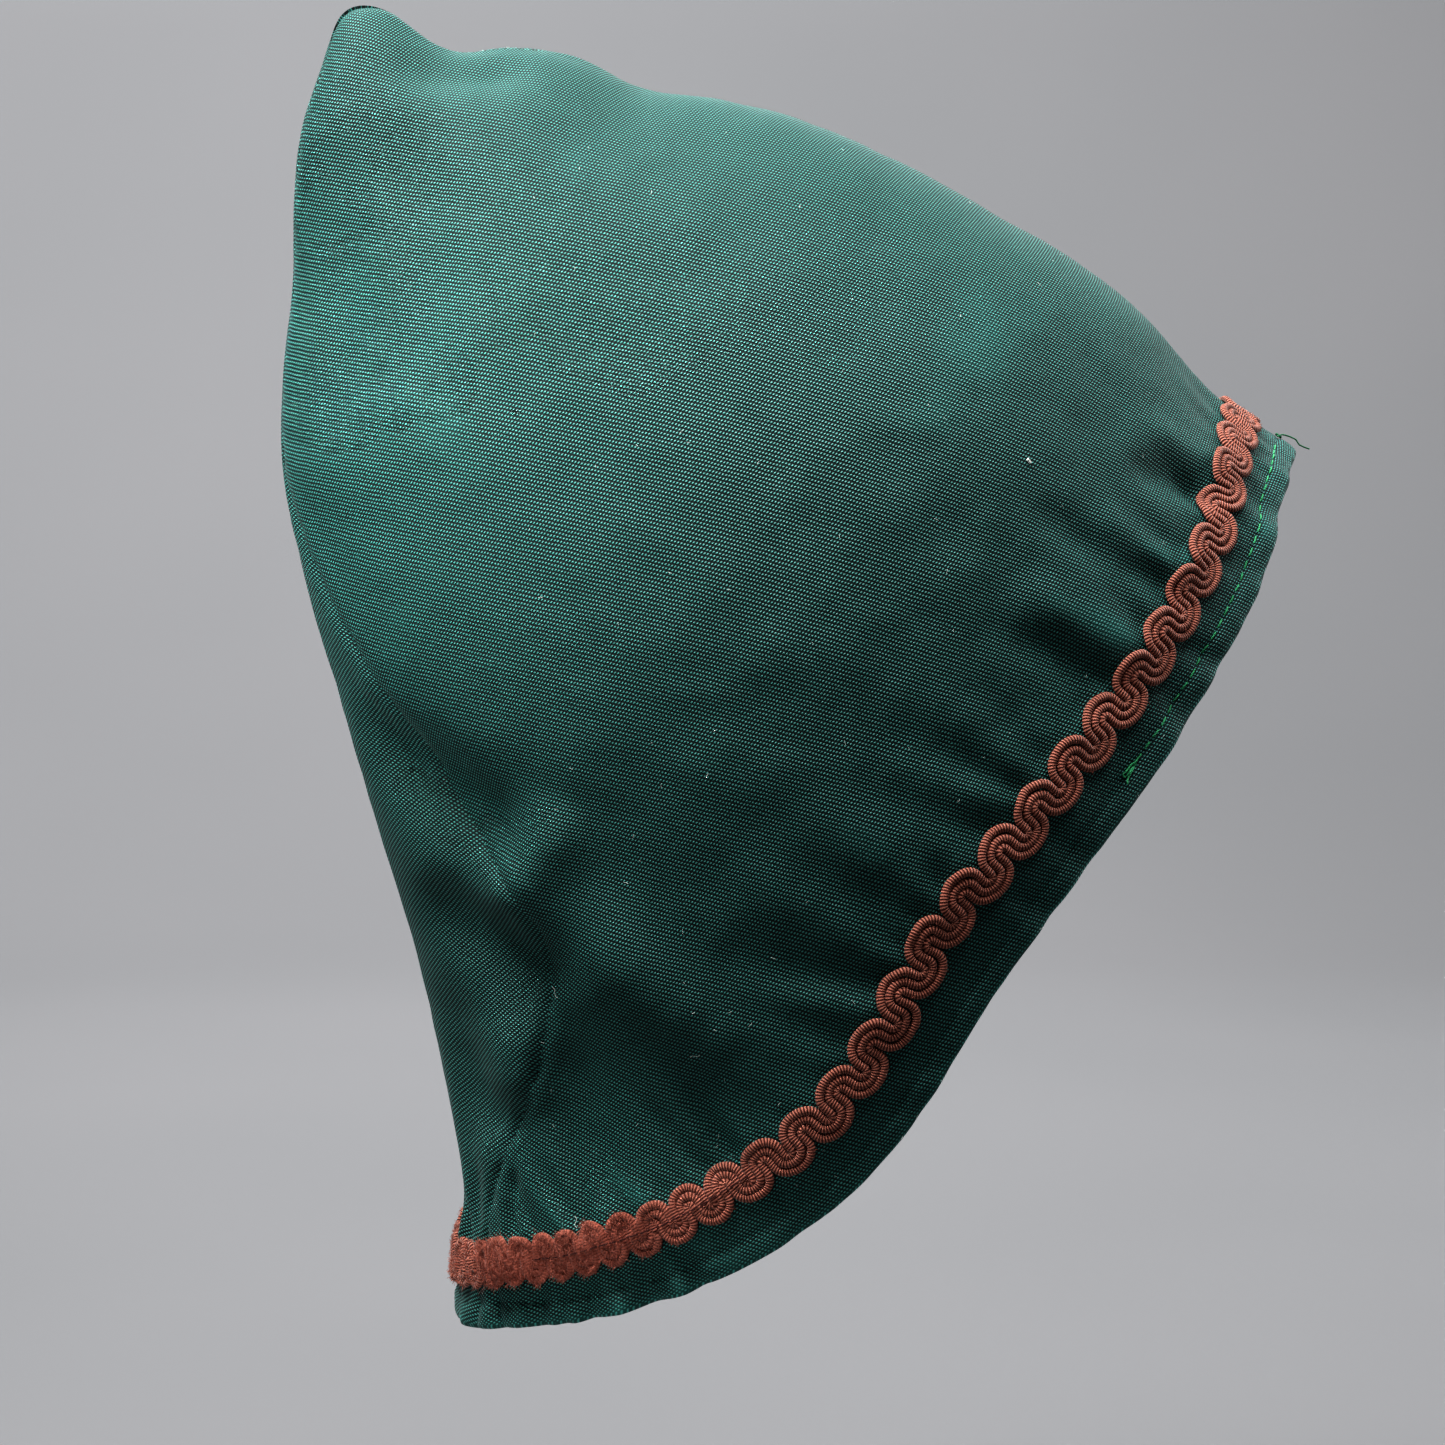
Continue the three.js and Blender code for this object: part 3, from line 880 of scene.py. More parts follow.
def seam_roll(from_top, from_back, length_along):
    """The cloth dips and puckers where it is sewn to the other panel"""
    waves = np.sin(length_along / PUCKER_SHORT) * np.sin(length_along / PUCKER_LONG + 1)
    pucker = 1 - PUCKER + PUCKER * waves
    dip = 0.0
    for away in (from_top, from_back):
        dip = dip - SEAM_GROOVE * pucker * np.exp(-((away / GROOVE_WIDTH) ** 2))
        dip = dip + SEAM_ROLL * pucker * np.exp(-(((away - ROLL_AT) / ROLL_WIDTH) ** 2))
    return dip


# %% Directions and lengths on a grid


def grid_normals(points, side):
    """Outward directions of a grid of points, columns first"""
    down = np.gradient(points, axis=0)
    along = np.gradient(points, axis=1)
    return unit(np.cross(along, down)) * -side


def lengths_along(points, axis=0):
    """Lengths from the first point of a path, or from the first points of a grid along one of its axes"""
    steps = np.linalg.norm(np.diff(points, axis=axis), axis=-1)
    return np.cumsum(np.insert(steps, 0, 0, axis=axis), axis=axis)


# %% Relief of the cloth, in millimetres
# Unevenness: height, pitch and what is added to the panel's seed
UNEVEN = [(0.9, 34, 0), (0.4, 15, 1), (0.16, 6, 2)]
PANEL_SEED = {-1: 20, 1: 40}
SEAM_CALM = 9
EDGE_WAVE = 0.6
EDGE_WAVE_PITCH = 3.8
EDGE_WAVE_REACH = 6
GIMP_HALF = 5.6
GIMP_PRESS = 0.75
HEM_SWELL = 0.3
HEM_STITCH = 5.7
STITCH_DIP = 0.42
STITCH_DIP_WIDTH = 0.75
STITCH_PITCH = 4


def hem_relief(distance, length):
    """The hem swells between its fold and its stitches, which dip into it one by one"""
    swell = HEM_SWELL * smooth(0, 1.5, distance) * smooth(5.2, 4, distance)
    stitch = 0.8 + 0.2 * np.cos(TURN * length[:, None] / STITCH_PITCH)
    return swell - STITCH_DIP * stitch * np.exp(-(((distance - HEM_STITCH) / STITCH_DIP_WIDTH) ** 2))


def wavy_relief(points, across, length, distance, middle, seed):
    """The gathers and the wavy edge, pressed flat under the gimp"""
    wavy = gathers(points, across, length, middle, seed + 3)
    full = nape_share(across)[:, None]
    noise = value_noise(length[:, None], distance * 0.2, EDGE_WAVE_PITCH, seed + 4)
    wavy += np.exp(-distance / EDGE_WAVE_REACH) * full * EDGE_WAVE * noise
    return wavy * (1 - GIMP_PRESS * np.exp(-((np.abs(distance - middle[:, None]) / GIMP_HALF) ** 4)))


# %% Build the surface of one panel
SEAM_STRAIGHT = 1e-3
TIP_CALM = 0.985


def panel_surface(side):
    """The outer points of a panel in mm, with and without the seam's groove, and their measures"""
    across, along, turn, distance = panel_rows(side)
    smooth_points = surface_point(along, turn)
    normal = outward(along, turn)
    length = lengths_along(smooth_points[:, NEAR_ROWS // 2])
    from_top = lengths_along(smooth_points)
    from_back = from_top[-1:] - from_top
    rows = lengths_along(smooth_points, axis=1)
    middle = braid_middle(turn[:, 0])
    seed = PANEL_SEED[side]
    rest = fold_height(smooth_points, CREASES)
    y, z = smooth_points[..., 1], smooth_points[..., 2]
    for tall, pitch, more in UNEVEN:
        rest += tall * value_noise(y, z, pitch, seed + more)
    rest += wavy_relief(smooth_points, across, length, distance, middle, seed)
    calm = smooth(0, SEAM_CALM, from_top) * smooth(0, SEAM_CALM, from_back)
    height = rest * calm + hem_relief(distance, length)
    whole = smooth_points + normal * height[..., None]
    groove = seam_roll(from_top, from_back, rows)
    sewn = whole + normal * (groove * smooth(1.0, TIP_CALM, along))[..., None]
    for points in (whole, sewn):
        points[0, :, 0] = 0
        points[:, -1, 0] = 0
    straight = section("seamShift", np.clip(along, 0, 1)) < SEAM_STRAIGHT
    measures = {
        "upper": straight | (across[:, None] < 0.5),
        "across": across,
        "length": length,
        "distance": distance,
        "middle": middle,
        "relief": height,
        "from_seam": np.minimum(from_top, from_back),
        "normal": normal,
    }
    return whole, sewn, measures


SURFACES = {side: panel_surface(side) for side in (-1, 1)}
for side in (-1, 1):
    print("panel", side, "edge length", SURFACES[side][2]["length"][-1].round(1), "mm")

# %% [markdown]
# ## Flat cut of the cloth
# Twill ribs follow the cut of the flat cloth and not the round hood. A UV unwrap would lay a panel flat
# too, but not so evenly. So the grid is treated as a net of springs that want their true lengths, and it
# is left to settle on a plane. It begins from the side view, where the ribs run level, as they do on the
# real hood.

# %% Lay a grid flat
PULL = 0.24


def settle(flat, points, rounds):
    """Move the flat points until neighbours are as far apart as on the hood"""
    pairs = []
    for di, dj in ((1, 0), (0, 1), (1, 1), (1, -1)):
        first = (slice(0, flat.shape[0] - di), slice(max(-dj, 0), flat.shape[1] - max(dj, 0)))
        second = (slice(di, None), slice(max(dj, 0), flat.shape[1] + min(dj, 0)))
        true = np.linalg.norm(points[second] - points[first], axis=-1)
        pairs.append((first, second, true))
    for _ in range(rounds):
        move = np.zeros_like(flat)
        for first, second, true in pairs:
            gap = flat[second] - flat[first]
            now = np.maximum(np.linalg.norm(gap, axis=-1), 1e-9)
            pull = gap * ((now - true) / now * PULL / 2)[..., None]
            move[first] += pull
            move[second] -= pull
        flat += move
    return flat


def enlarge(flat, rows_from, rows_to, columns_from, columns_to):
    """Read a coarse flat grid at the places of a finer one"""
    layers = []
    for layer in (flat[..., 0], flat[..., 1]):
        wide = np.stack([np.interp(columns_to, columns_from, line) for line in layer.T], 1)
        layers.append(np.stack([np.interp(rows_to, rows_from, line) for line in wide]))
    return np.stack(layers, axis=-1)


# %% The flat panels
# Stages from coarse to fine: every how many columns and rows, and rounds of settling
FLAT_STAGES = [(20, 9, 2600), (5, 3, 500), (1, 1, 60)]
RIB_TILT = math.radians(18)


def unrolled(points):
    """A first guess for the flat cloth: each loop drawn out to its full length in the side view"""
    first, last = points[0, :, 1:], points[-1, :, 1:]
    chord = unit(last - first)
    middle = (first + last) / 2
    offset = points[..., 1:] - middle
    run = lengths_along(points)
    run = run - run[-1:] / 2
    square = np.stack([-chord[:, 1], chord[:, 0]], axis=-1)
    aside = (offset * square).sum(axis=-1)
    return middle + chord * run[..., None] + square * aside[..., None]


def thinned(count, step):
    return np.unique(np.append(np.arange(0, count, step), count - 1))


def lay_flat(points):
    """Flat coordinates in millimetres for every point of a panel"""
    flat = None
    for column_step, row_step, rounds in FLAT_STAGES:
        columns = thinned(points.shape[0], column_step)
        rows = thinned(points.shape[1], row_step)
        coarse = points[np.ix_(columns, rows)]
        if flat is None:
            flat = unrolled(coarse)
        else:
            flat = enlarge(flat, old_rows, rows, old_columns, columns)
        flat = settle(flat, coarse, rounds)
        old_rows, old_columns = rows, columns
    cosine, sine = math.cos(RIB_TILT), math.sin(RIB_TILT)
    return flat @ np.array([[cosine, sine], [-sine, cosine]]).T


def flat_area(flat):
    a, b = flat[:-1, :-1], flat[1:, 1:]
    c, d = flat[1:, :-1], flat[:-1, 1:]
    diagonal, other = b - a, d - c
    return np.abs((diagonal[..., 0] * other[..., 1] - diagonal[..., 1] * other[..., 0]).sum()) / 2


FLAT = {}
for side in (-1, 1):
    FLAT[side] = lay_flat(SURFACES[side][0])
    size = np.ptp(FLAT[side], axis=(0, 1))
    print("flat panel", side, size.round(1), "mm, area", round(flat_area(FLAT[side]) * 1e-6, 4), "m2")

# %% Close each panel into a skin with two sides
CLOTH = 1.15
HEM_CLOTH = 2.3
ALLOWANCE = 8.0
ALLOWANCE_CLOTH = 0.9
FOLD_ROWS = 4
SEAM_CLEAR = 0.02
# How much a painted sheen lightens the raised ridges and wear lightens the front edge, and their reach in
# mm
RIDGE_SHEEN = 0.6
EDGE_WEAR = 0.5
SHEEN_AND_WEAR_REACH = 1.6


def keep_to_side(points, side, where):
    """Stop the cloth of one panel at the mid-plane, where the panels meet on it"""
    kept = points.copy()
    across = side * np.maximum(side * points[..., 0], SEAM_CLEAR)
    kept[..., 0] = np.where(where, across, points[..., 0])
    return kept


def panel_skin(side):
    """All points of a panel, its flat places and its zone attributes"""
    _, sewn, measures = SURFACES[side]
    normal = measures["normal"].copy()
    normal[0, :, 0] = 0
    normal[:, -1, 0] = 0
    normal = unit(normal)
    distance, seam = measures["distance"], measures["from_seam"]
    thick = CLOTH + (HEM_CLOTH - CLOTH) * smooth(HEM_DEPTH + HEM_STEP, HEM_DEPTH, distance)
    thick = np.maximum(thick, CLOTH + ALLOWANCE_CLOTH * smooth(ALLOWANCE, ALLOWANCE - 1, seam))
    outer = sewn.copy()
    inner = sewn - normal * thick[..., None]
    outer = keep_to_side(outer, side, measures["upper"])
    inner = keep_to_side(inner, side, measures["upper"])
    down = unit(outer[:, 0] - outer[:, 1])
    centre = (outer[:, 0] + inner[:, 0]) / 2
    arm = (inner[:, 0] - outer[:, 0]) / 2
    radius = np.linalg.norm(arm, axis=-1, keepdims=True)
    fold = []
    for k in range(1, FOLD_ROWS + 1):
        angle = math.pi * k / (FOLD_ROWS + 1)
        fold.append(centre + arm * math.cos(angle) + down * radius * math.sin(angle))
    fold = np.stack(fold, axis=1)
    fold = keep_to_side(fold, side, measures["upper"][:, :1])
    ring = np.concatenate([outer, inner[:, ::-1], fold], axis=1)
    flat = FLAT[side]
    flat_fold = np.repeat(flat[:, :1], FOLD_ROWS, axis=1)
    flat_ring = np.concatenate([flat, flat[:, ::-1], flat_fold], axis=1)
    # A painted sheen on the raised ridges of the relief, and real wear along the front edge
    worn = RIDGE_SHEEN * smooth(0.5, SHEEN_AND_WEAR_REACH, measures["relief"])
    worn = worn + EDGE_WEAR * smooth(SHEEN_AND_WEAR_REACH, 0, distance)
    zone = np.stack([distance * MM, seam * MM, worn], axis=-1)
    zone_fold = np.repeat(zone[:, :1], FOLD_ROWS, axis=1)
    zone_ring = np.concatenate([zone, zone[:, ::-1], zone_fold], axis=1)
    return ring, flat_ring, zone_ring


def ring_faces(columns, size, rows, fold_rows):
    """Faces of a grid whose rows close into a ring, and the faces that close its two ends"""
    quads = ring_quads(columns, size).tolist()
    j = np.arange(rows - 1)
    back = 2 * rows - 1 - j
    start = np.stack([j, back, back - 1, j + 1], axis=1)
    end = (start + (columns - 1) * size)[:, ::-1]
    hem = [0] + [2 * rows + k for k in range(fold_rows - 1, -1, -1)] + [2 * rows - 1]
    last = [(columns - 1) * size + k for k in hem]
    return quads + start.tolist() + end.tolist() + [hem, last[::-1]]


PANEL_NAMES = {-1: ("right_panel_cloth", "right_panel"), 1: ("left_panel_cloth", "left_panel")}
for side in (-1, 1):
    ring, flat_ring, zone_ring = panel_skin(side)
    size = ring.shape[1]
    faces = ring_faces(ring.shape[0], size, ROWS, FOLD_ROWS)
    places = np.concatenate([flat_ring, np.zeros(flat_ring.shape[:2] + (1,))], axis=-1) * MM
    cloth = mesh_object(
        PANEL_NAMES[side][0],
        ring.reshape(-1, 3) * MM,
        faces,
        {"flat_place": places.reshape(-1, 3), "cloth_zone": zone_ring.reshape(-1, 3)},
    )
    cloth.data.materials.append(green_twill)
    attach(cloth, "root")
    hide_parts(PANEL_NAMES[side][1])
    print(cloth.name, len(cloth.data.loop_triangles), "triangles")

# %% [markdown]
# ## Placing things on the cloth
# Everything sewn to the hood is placed by how far it is round the edge and how far from the hem. This
# helper turns those two measures into a point and a direction on the finished cloth, so stitches and
# cords lie on its gathers instead of cutting through them. A shrinkwrap would do so too, but it shifts
# pieces sideways.

# %% Points on the cloth
ON_CLOTH = {}
for side in (-1, 1):
    whole, _, measures = SURFACES[side]
    ON_CLOTH[side] = (whole, grid_normals(whole, side), measures)


def panel_at(place):
    """The side of the panel that a place lies on, and how far round the panel it is"""
    side = np.where((place >= 0) | (place < -1), -1, 1)
    return side, np.where(place < -1, 2 + place, np.abs(place))


def on_cloth(place, distance):
    """Points and outward directions in millimetres. Place is 1 at the right nape, 0 over the forehead and
    -1 at the left nape, and past -1 it goes on over the right panel. Distance is from the front edge."""
    place, distance = np.broadcast_arrays(np.asarray(place, float), np.asarray(distance, float))
    points = np.zeros(place.shape + (3,))
    normals = np.zeros(place.shape + (3,))
    sides, across = panel_at(place)
    for side in (-1, 1):
        here = sides == side
        grid, normal, measures = ON_CLOTH[side]
        column = np.interp(across[here], measures["across"], np.arange(COLUMNS + 1))
        column = np.clip(column, 0, COLUMNS - 1e-6)
        row = np.clip(distance[here] / NEAR_STEP, 0, NEAR_ROWS - 1 - 1e-6)
        i, j = column.astype(int), row.astype(int)
        f, g = (column - i)[:, None], (row - j)[:, None]
        for source, target in ((grid, points), (normal, normals)):
            low = source[i, j] * (1 - f) + source[i + 1, j] * f
            high = source[i, j + 1] * (1 - f) + source[i + 1, j + 1] * f
            target[here] = low * (1 - g) + high * g
    return points, unit(normals)


def middle_at(place):
    """Distance of the gimp's middle line from the front edge"""
    side, across = panel_at(place)
    return braid_middle(turn_at(side, across, np.zeros_like(across)))


# %% A round strand along a path
TIP_SHARE = 0.6


def frames_along(path, up):
    """Two directions square to a path at each of its points"""
    ahead = unit(np.gradient(path, axis=0))
    side = unit(np.cross(ahead, up))
    return side, unit(np.cross(side, ahead))


def strand(path, up, radius, sides=8, flatten=1.0, phase=0.0, wound=1.0):
    """Points, faces and thread coordinates of a closed strand with rounded ends, in millimetres. Wound says
    how clearly its winding shows, from 0 to 1"""
    count = len(path)
    radius = np.broadcast_to(radius, (count,)).copy()
    across, above = frames_along(path, up)
    angle = np.arange(sides) * TURN / sides
    cosine, sine = np.cos(angle)[None, :, None], np.sin(angle)[None, :, None]
    ring = across[:, None] * cosine + above[:, None] * sine * flatten
    points = (path[:, None] + ring * radius[:, None, None]).reshape(-1, 3)
    length = lengths_along(path)
    place = np.stack(
        [
            np.repeat(length[:, None] * MM + phase, sides, axis=1),
            np.outer(np.broadcast_to(wound, (count,)), np.cos(angle)),
            np.outer(np.broadcast_to(wound, (count,)), np.sin(angle)),
        ],
        axis=-1,
    ).reshape(-1, 3)
    quads = ring_quads(count, sides).tolist()
    ahead = unit(np.gradient(path, axis=0))
    first_tip = path[0] - ahead[0] * radius[0] * TIP_SHARE
    last_tip = path[-1] + ahead[-1] * radius[-1] * TIP_SHARE
    points = np.concatenate([points, [first_tip, last_tip]])
    place = np.concatenate([place, [[phase, 1, 0], [length[-1] * MM + phase, 1, 0]]])
    first, last = count * sides, count * sides + 1
    caps = [(first, (m + 1) % sides, m) for m in range(sides)]
    end = (count - 1) * sides
    caps += [(last, end + m, end + (m + 1) % sides) for m in range(sides)]
    return points, quads + caps, place


def strands_object(name, strands, material):
    """One object from several strands, which rides on the hood"""
    points, faces, places = [], [], []
    start = 0
    for part_points, part_faces, part_place in strands:
        points.append(part_points)
        places.append(part_place)
        faces.extend(tuple(start + k for k in face) for face in part_faces)
        start += len(part_points)
    attributes = {"cord_place": np.concatenate(places)}
    item = mesh_object(name, np.concatenate(points) * MM, faces, attributes)
    item.data.materials.append(material)
    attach(item, "root")
    print(name, len(strands), "strands,", len(faces), "faces")
    return item


# %% [markdown]
# ## The scroll gimp
# Gimp of this kind is three cords, each a core wound with thread, laid side by side and bent to and fro
# into scrolls. One band with a relief would do from far off, but light falls between real cords. So the
# path of the middle cord is drawn first, as arcs joined by straight lines, and the other two run beside
# it. Near the nape the real one is pushed together, which here is a squeeze of the same path.

# %% The scroll on a flat strip
LOBE_PITCH = 7.2
CORD_APART = 2.36
CORD_RADIUS = 1.16
CORD_FLAT = 0.8
ARC_STEPS = 11
# How high a cord's arch stands over the middle line and where its straight legs end, by how far out it is
ARCHES = table("offset top foot", [[-2.36, 1.75, 0.65], [0, 3.5, 1.2], [2.36, 5.6, 1.75]])


def scroll(lobes, offset):
    """The path of one cord over a number of lobes, along and across a flat strip"""
    points = []
    for k in range(lobes):
        up = 1 if k % 2 == 0 else -1
        radius = LOBE_PITCH / 2 + up * offset
        foot = np.interp(up * offset, ARCHES["offset"], ARCHES["foot"])
        top = np.interp(up * offset, ARCHES["offset"], ARCHES["top"])
        for angle in np.linspace(-math.pi / 2, math.pi / 2, ARC_STEPS):
            along = k * LOBE_PITCH + radius * math.sin(angle)
            points.append((along, up * (foot + (top - foot) * math.cos(angle))))
    return np.array(points)


def evenly(path, step):
    """The same path with points an even step apart"""
    length = lengths_along(path)
    count = max(int(round(length[-1] / step)), 2)
    at = np.linspace(0, length[-1], count + 1)
    return np.stack([np.interp(at, length, path[:, k]) for k in range(path.shape[1])], axis=1)


# %% The walk along the hood's edge
BRAID_FROM = 0.985
BRAID_TO = -1.035
WALK_POINTS = 2400
walk_places = np.linspace(BRAID_FROM, BRAID_TO, WALK_POINTS)
walk_points, _ = on_cloth(walk_places, middle_at(walk_places))
walk_length = lengths_along(walk_points)
BRAID_LENGTH = walk_length[-1]
print("gimp", BRAID_LENGTH.round(1), "mm long")

walk_along = unit(np.gradient(walk_points, axis=0))
walk_next, _ = on_cloth(walk_places, middle_at(walk_places) + 1)
walk_up = unit(walk_next - walk_points)
walk_step = np.linalg.norm(walk_next - walk_points, axis=-1)
walk_lean = (walk_along * walk_up).sum(axis=-1)
walk_square = np.sqrt(1 - walk_lean**2)


def beside_gimp(run, across):
    """Place and distance of points beside the middle line, by the length along it and square to it"""
    lean = np.interp(run, walk_length, walk_lean)
    square = np.interp(run, walk_length, walk_square)
    step = np.interp(run, walk_length, walk_step)
    place = np.interp(run - across * lean / square, walk_length, walk_places)
    return place, middle_at(place) + across / (square * step)


# %% How the scroll is pushed together
# By distance from the right end and from the left end
SQUEEZE = table(
    "from share",
    [[0, 0.42], [22, 0.46], [40, 0.6], [62, 0.7], [95, 0.92], [125, 1], [400, 1]],
)
EVEN_POINTS = 1600
even = np.linspace(0, BRAID_LENGTH, EVEN_POINTS)
share = np.minimum(
    np.interp(even, SQUEEZE["from"], SQUEEZE["share"]),
    np.interp(BRAID_LENGTH - even, SQUEEZE["from"], SQUEEZE["share"]),
)
FOREHEAD_SQUEEZE = 0.26
FOREHEAD_REACH = 55
middle_run = np.interp(0.0, -walk_places, walk_length)
share = share * (1 - FOREHEAD_SQUEEZE * np.exp(-(((even - middle_run) / FOREHEAD_REACH) ** 2)))
unsqueezed = np.concatenate([[0], np.cumsum(np.diff(even) * 2 / (share[1:] + share[:-1]))])
LOBES = int(round(unsqueezed[-1] / LOBE_PITCH))
print("scrolls", LOBES, "lobes")

# %% The three cords on the hood
CORD_STEP = 0.85
CORD_SIDES = 8
LAP_LENGTH = 9
LAP_RISE = 12
LAP_LIFT = 2.2
WORN_FROM = 22
WORN_TO = 78
BROKEN_WINDING = 0.7
# A squeezed scroll is narrower and its cords thinner by these shares of the squeeze
NARROWED = 0.08
THINNED = 0.1
# Unevenness in millimetres: to the side, of the pile of squeezed cords, and up and down along a cord
SWAY = 0.2
SWAY_PITCH = 11
PILE = 0.9
PILE_PITCH = 2.1
PILE_LOWEST = -0.2
RIPPLE = 0.1
RIPPLE_PITCH = 3.1
CORD_CLEAR = 0.1
CORD_SEED = 70
PHASE_APART = 0.173


def cord_on_hood(offset, seed):
    """A cord of the gimp: its path, its outward directions, its run along the edge and its squeeze"""
    flat = evenly(scroll(LOBES, offset), CORD_STEP)
    flat[:, 0] = (flat[:, 0] + LOBE_PITCH / 2) * unsqueezed[-1] / (LOBES * LOBE_PITCH)
    run = np.interp(flat[:, 0], unsqueezed, even)
    tight = np.interp(run, even, share)
    across = flat[:, 1] * (1 - NARROWED + NARROWED * tight)
    across += SWAY * value_noise(run, np.full_like(run, seed), SWAY_PITCH, seed)
    place, distance = beside_gimp(run, across)
    points, normals = on_cloth(place, distance)
    over = smooth(LAP_LENGTH + LAP_RISE, LAP_LENGTH, run)
    pile = (1 - tight) * PILE * value_noise(run * 1.3, flat[:, 1], PILE_PITCH, seed + 5)
    lift = CORD_RADIUS * CORD_FLAT + CORD_CLEAR + over * LAP_LIFT + np.maximum(pile, PILE_LOWEST)
    lift += RIPPLE * np.sin(lengths_along(flat) / RIPPLE_PITCH + seed)
    return points + normals * lift[:, None], normals, run, tight


cords = []
cord_paths = []
for number, offset in enumerate((-CORD_APART, 0, CORD_APART)):
    path, normals, run, tight = cord_on_hood(offset, CORD_SEED + number)
    radius = CORD_RADIUS * (1 - THINNED + THINNED * tight)
    cord_paths.append((path, normals, run))
    wound = 1 - BROKEN_WINDING * smooth(WORN_TO, WORN_FROM, run)
    cords.append(strand(path, normals, radius, CORD_SIDES, CORD_FLAT, number * PHASE_APART, wound))
gimp = strands_object("gimp_cords", cords, rust_gimp)
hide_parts("gimp_braid")

# %% [markdown]
# ## Fuzz of the gimp
# Near the nape the gimp is so crowded and worn that its winding has broken into a pile of short fibres,
# and its raw end is frayed. A hair system could grow them, but it would not go into the exported model.
# So the pile is made of real fibres: short bent hairs with three sides, rooted on the cords.

# %% Fibres on the cords
FIBRES = 6600
FIBRE_RADIUS = 0.055
FIBRE_SIDES = 3
FIBRE_STEPS = np.array([-0.12, 0.35, 0.7, 1.0])
FIBRE_TAPER = np.array([1.0, 0.95, 0.8, 0.5])
FIBRE_BEND = 0.45
FIBRE_FAN = 1.35
FIBRE_SEED = 90
# How thickly fibres stand at the left nape and everywhere, against 1 at the right nape
LEFT_PILE = 0.55
LEFT_FROM = 15
LEFT_TO = 60
SPARSE_PILE = 0.045


def fibre(root, way, bend, length):
    """A short bent hair that stands on its root"""
    t = FIBRE_STEPS[:, None] * length
    path = root + way * t + bend * (t * t) * FIBRE_BEND / length
    up = np.cross(way, bend) + way * 0.01
    return strand(path, up, FIBRE_RADIUS * FIBRE_TAPER, FIBRE_SIDES, wound=0.0)


rng = np.random.default_rng(FIBRE_SEED)
fibres = []
for path, normals, run in cord_paths:
    side, _ = frames_along(path, normals)
    left = LEFT_PILE * smooth(BRAID_LENGTH - LEFT_TO, BRAID_LENGTH - LEFT_FROM, run)
    worn = smooth(WORN_TO, WORN_FROM, run) + left + SPARSE_PILE
    picked = rng.choice(len(path), FIBRES // len(cord_paths), p=worn / worn.sum())
    for k in picked:
        angle = rng.uniform(-FIBRE_FAN, FIBRE_FAN)
        way = normals[k] * math.cos(angle) + side[k] * math.sin(angle)
        root = path[k] + way * CORD_RADIUS * (1 - (1 - CORD_FLAT) * math.cos(angle))
        ahead = np.cross(normals[k], side[k])
        lean = unit(way * 0.8 + ahead * rng.uniform(-1, 1) + side[k] * rng.uniform(-0.6, 0.6))
        bend = unit(ahead * rng.uniform(-1, 1) + side[k] * rng.uniform(-1, 1))
        length = rng.uniform(0.45, 1.0) * (0.7 + 0.7 * min(worn[k], 1))
        fibres.append(fibre(root, lean, bend, length))
pile = strands_object("gimp_fibres", fibres, rust_gimp)

# %% The frayed end of the gimp
FRAY = 150
FRAY_HALF = 5.2
FRAY_RUN = (0.4, 2.6)
FRAY_RISE = (1.2, 3.8)
FRAY_LENGTH = (1.5, 4.5)
back = -walk_along[0]
frayed = []
for _ in range(FRAY):
    across = rng.uniform(-FRAY_HALF, FRAY_HALF)
    place, distance = beside_gimp(np.array([rng.uniform(*FRAY_RUN)]), np.array([across]))
    point, normal = on_cloth(place, distance)
    root = point[0] + normal[0] * rng.uniform(*FRAY_RISE)
    way = unit(back + normal[0] * rng.uniform(-0.35, 0.3) + walk_up[0] * rng.uniform(-0.5, 0.5))
    bend = unit(walk_up[0] * rng.uniform(-1, 1) - normal[0] * rng.uniform(0, 1))
    frayed.append(fibre(root, way, bend, rng.uniform(*FRAY_LENGTH)))
fray = strands_object("gimp_frayed_end", frayed, rust_gimp)

# %% [markdown]
# ## Sewing threads
# The hem is held by a machine stitch in a paler green, from the forehead to half way down the side, where
# its end is a small tangle. The gimp is sewn down along its middle in dark thread. A painted line could
# stand for the stitches, but each real one is a short arch that dips into the cloth at both ends and
# catches the light. So each is its own small strand, and the cloth shows between two of them.

# %% A row of stitches
ARCH_AT = np.array([0.0, 0.12, 0.5, 0.88, 1.0])
THREAD_SIDES = 6


def laid(places, distances, heights, radius, phase=0.0):
    """A thread laid through places on the cloth, each at its own height above it"""
    points, normals = on_cloth(places, distances)
    return strand(points + normals * heights[:, None], normals, radius, THREAD_SIDES, phase=phase)


def stitch_row(places, lengths, distance_at, heights, radius, shown, gap, seed):
    """Stitches one after another along a row of places"""
    rng = np.random.default_rng(seed)
    row = []
    at = 0.0
    while at + shown < lengths[-1]:
        long = shown * rng.uniform(0.88, 1.12)
        where = np.interp(at + long * ARCH_AT, lengths, places)
        slant = np.linspace(-1, 1, len(ARCH_AT)) * rng.uniform(-0.2, 0.2)
        row.append(laid(where, distance_at(where) + slant, heights, radius, phase=at * MM))
        at += long + gap * rng.uniform(0.8, 1.2)
    return row


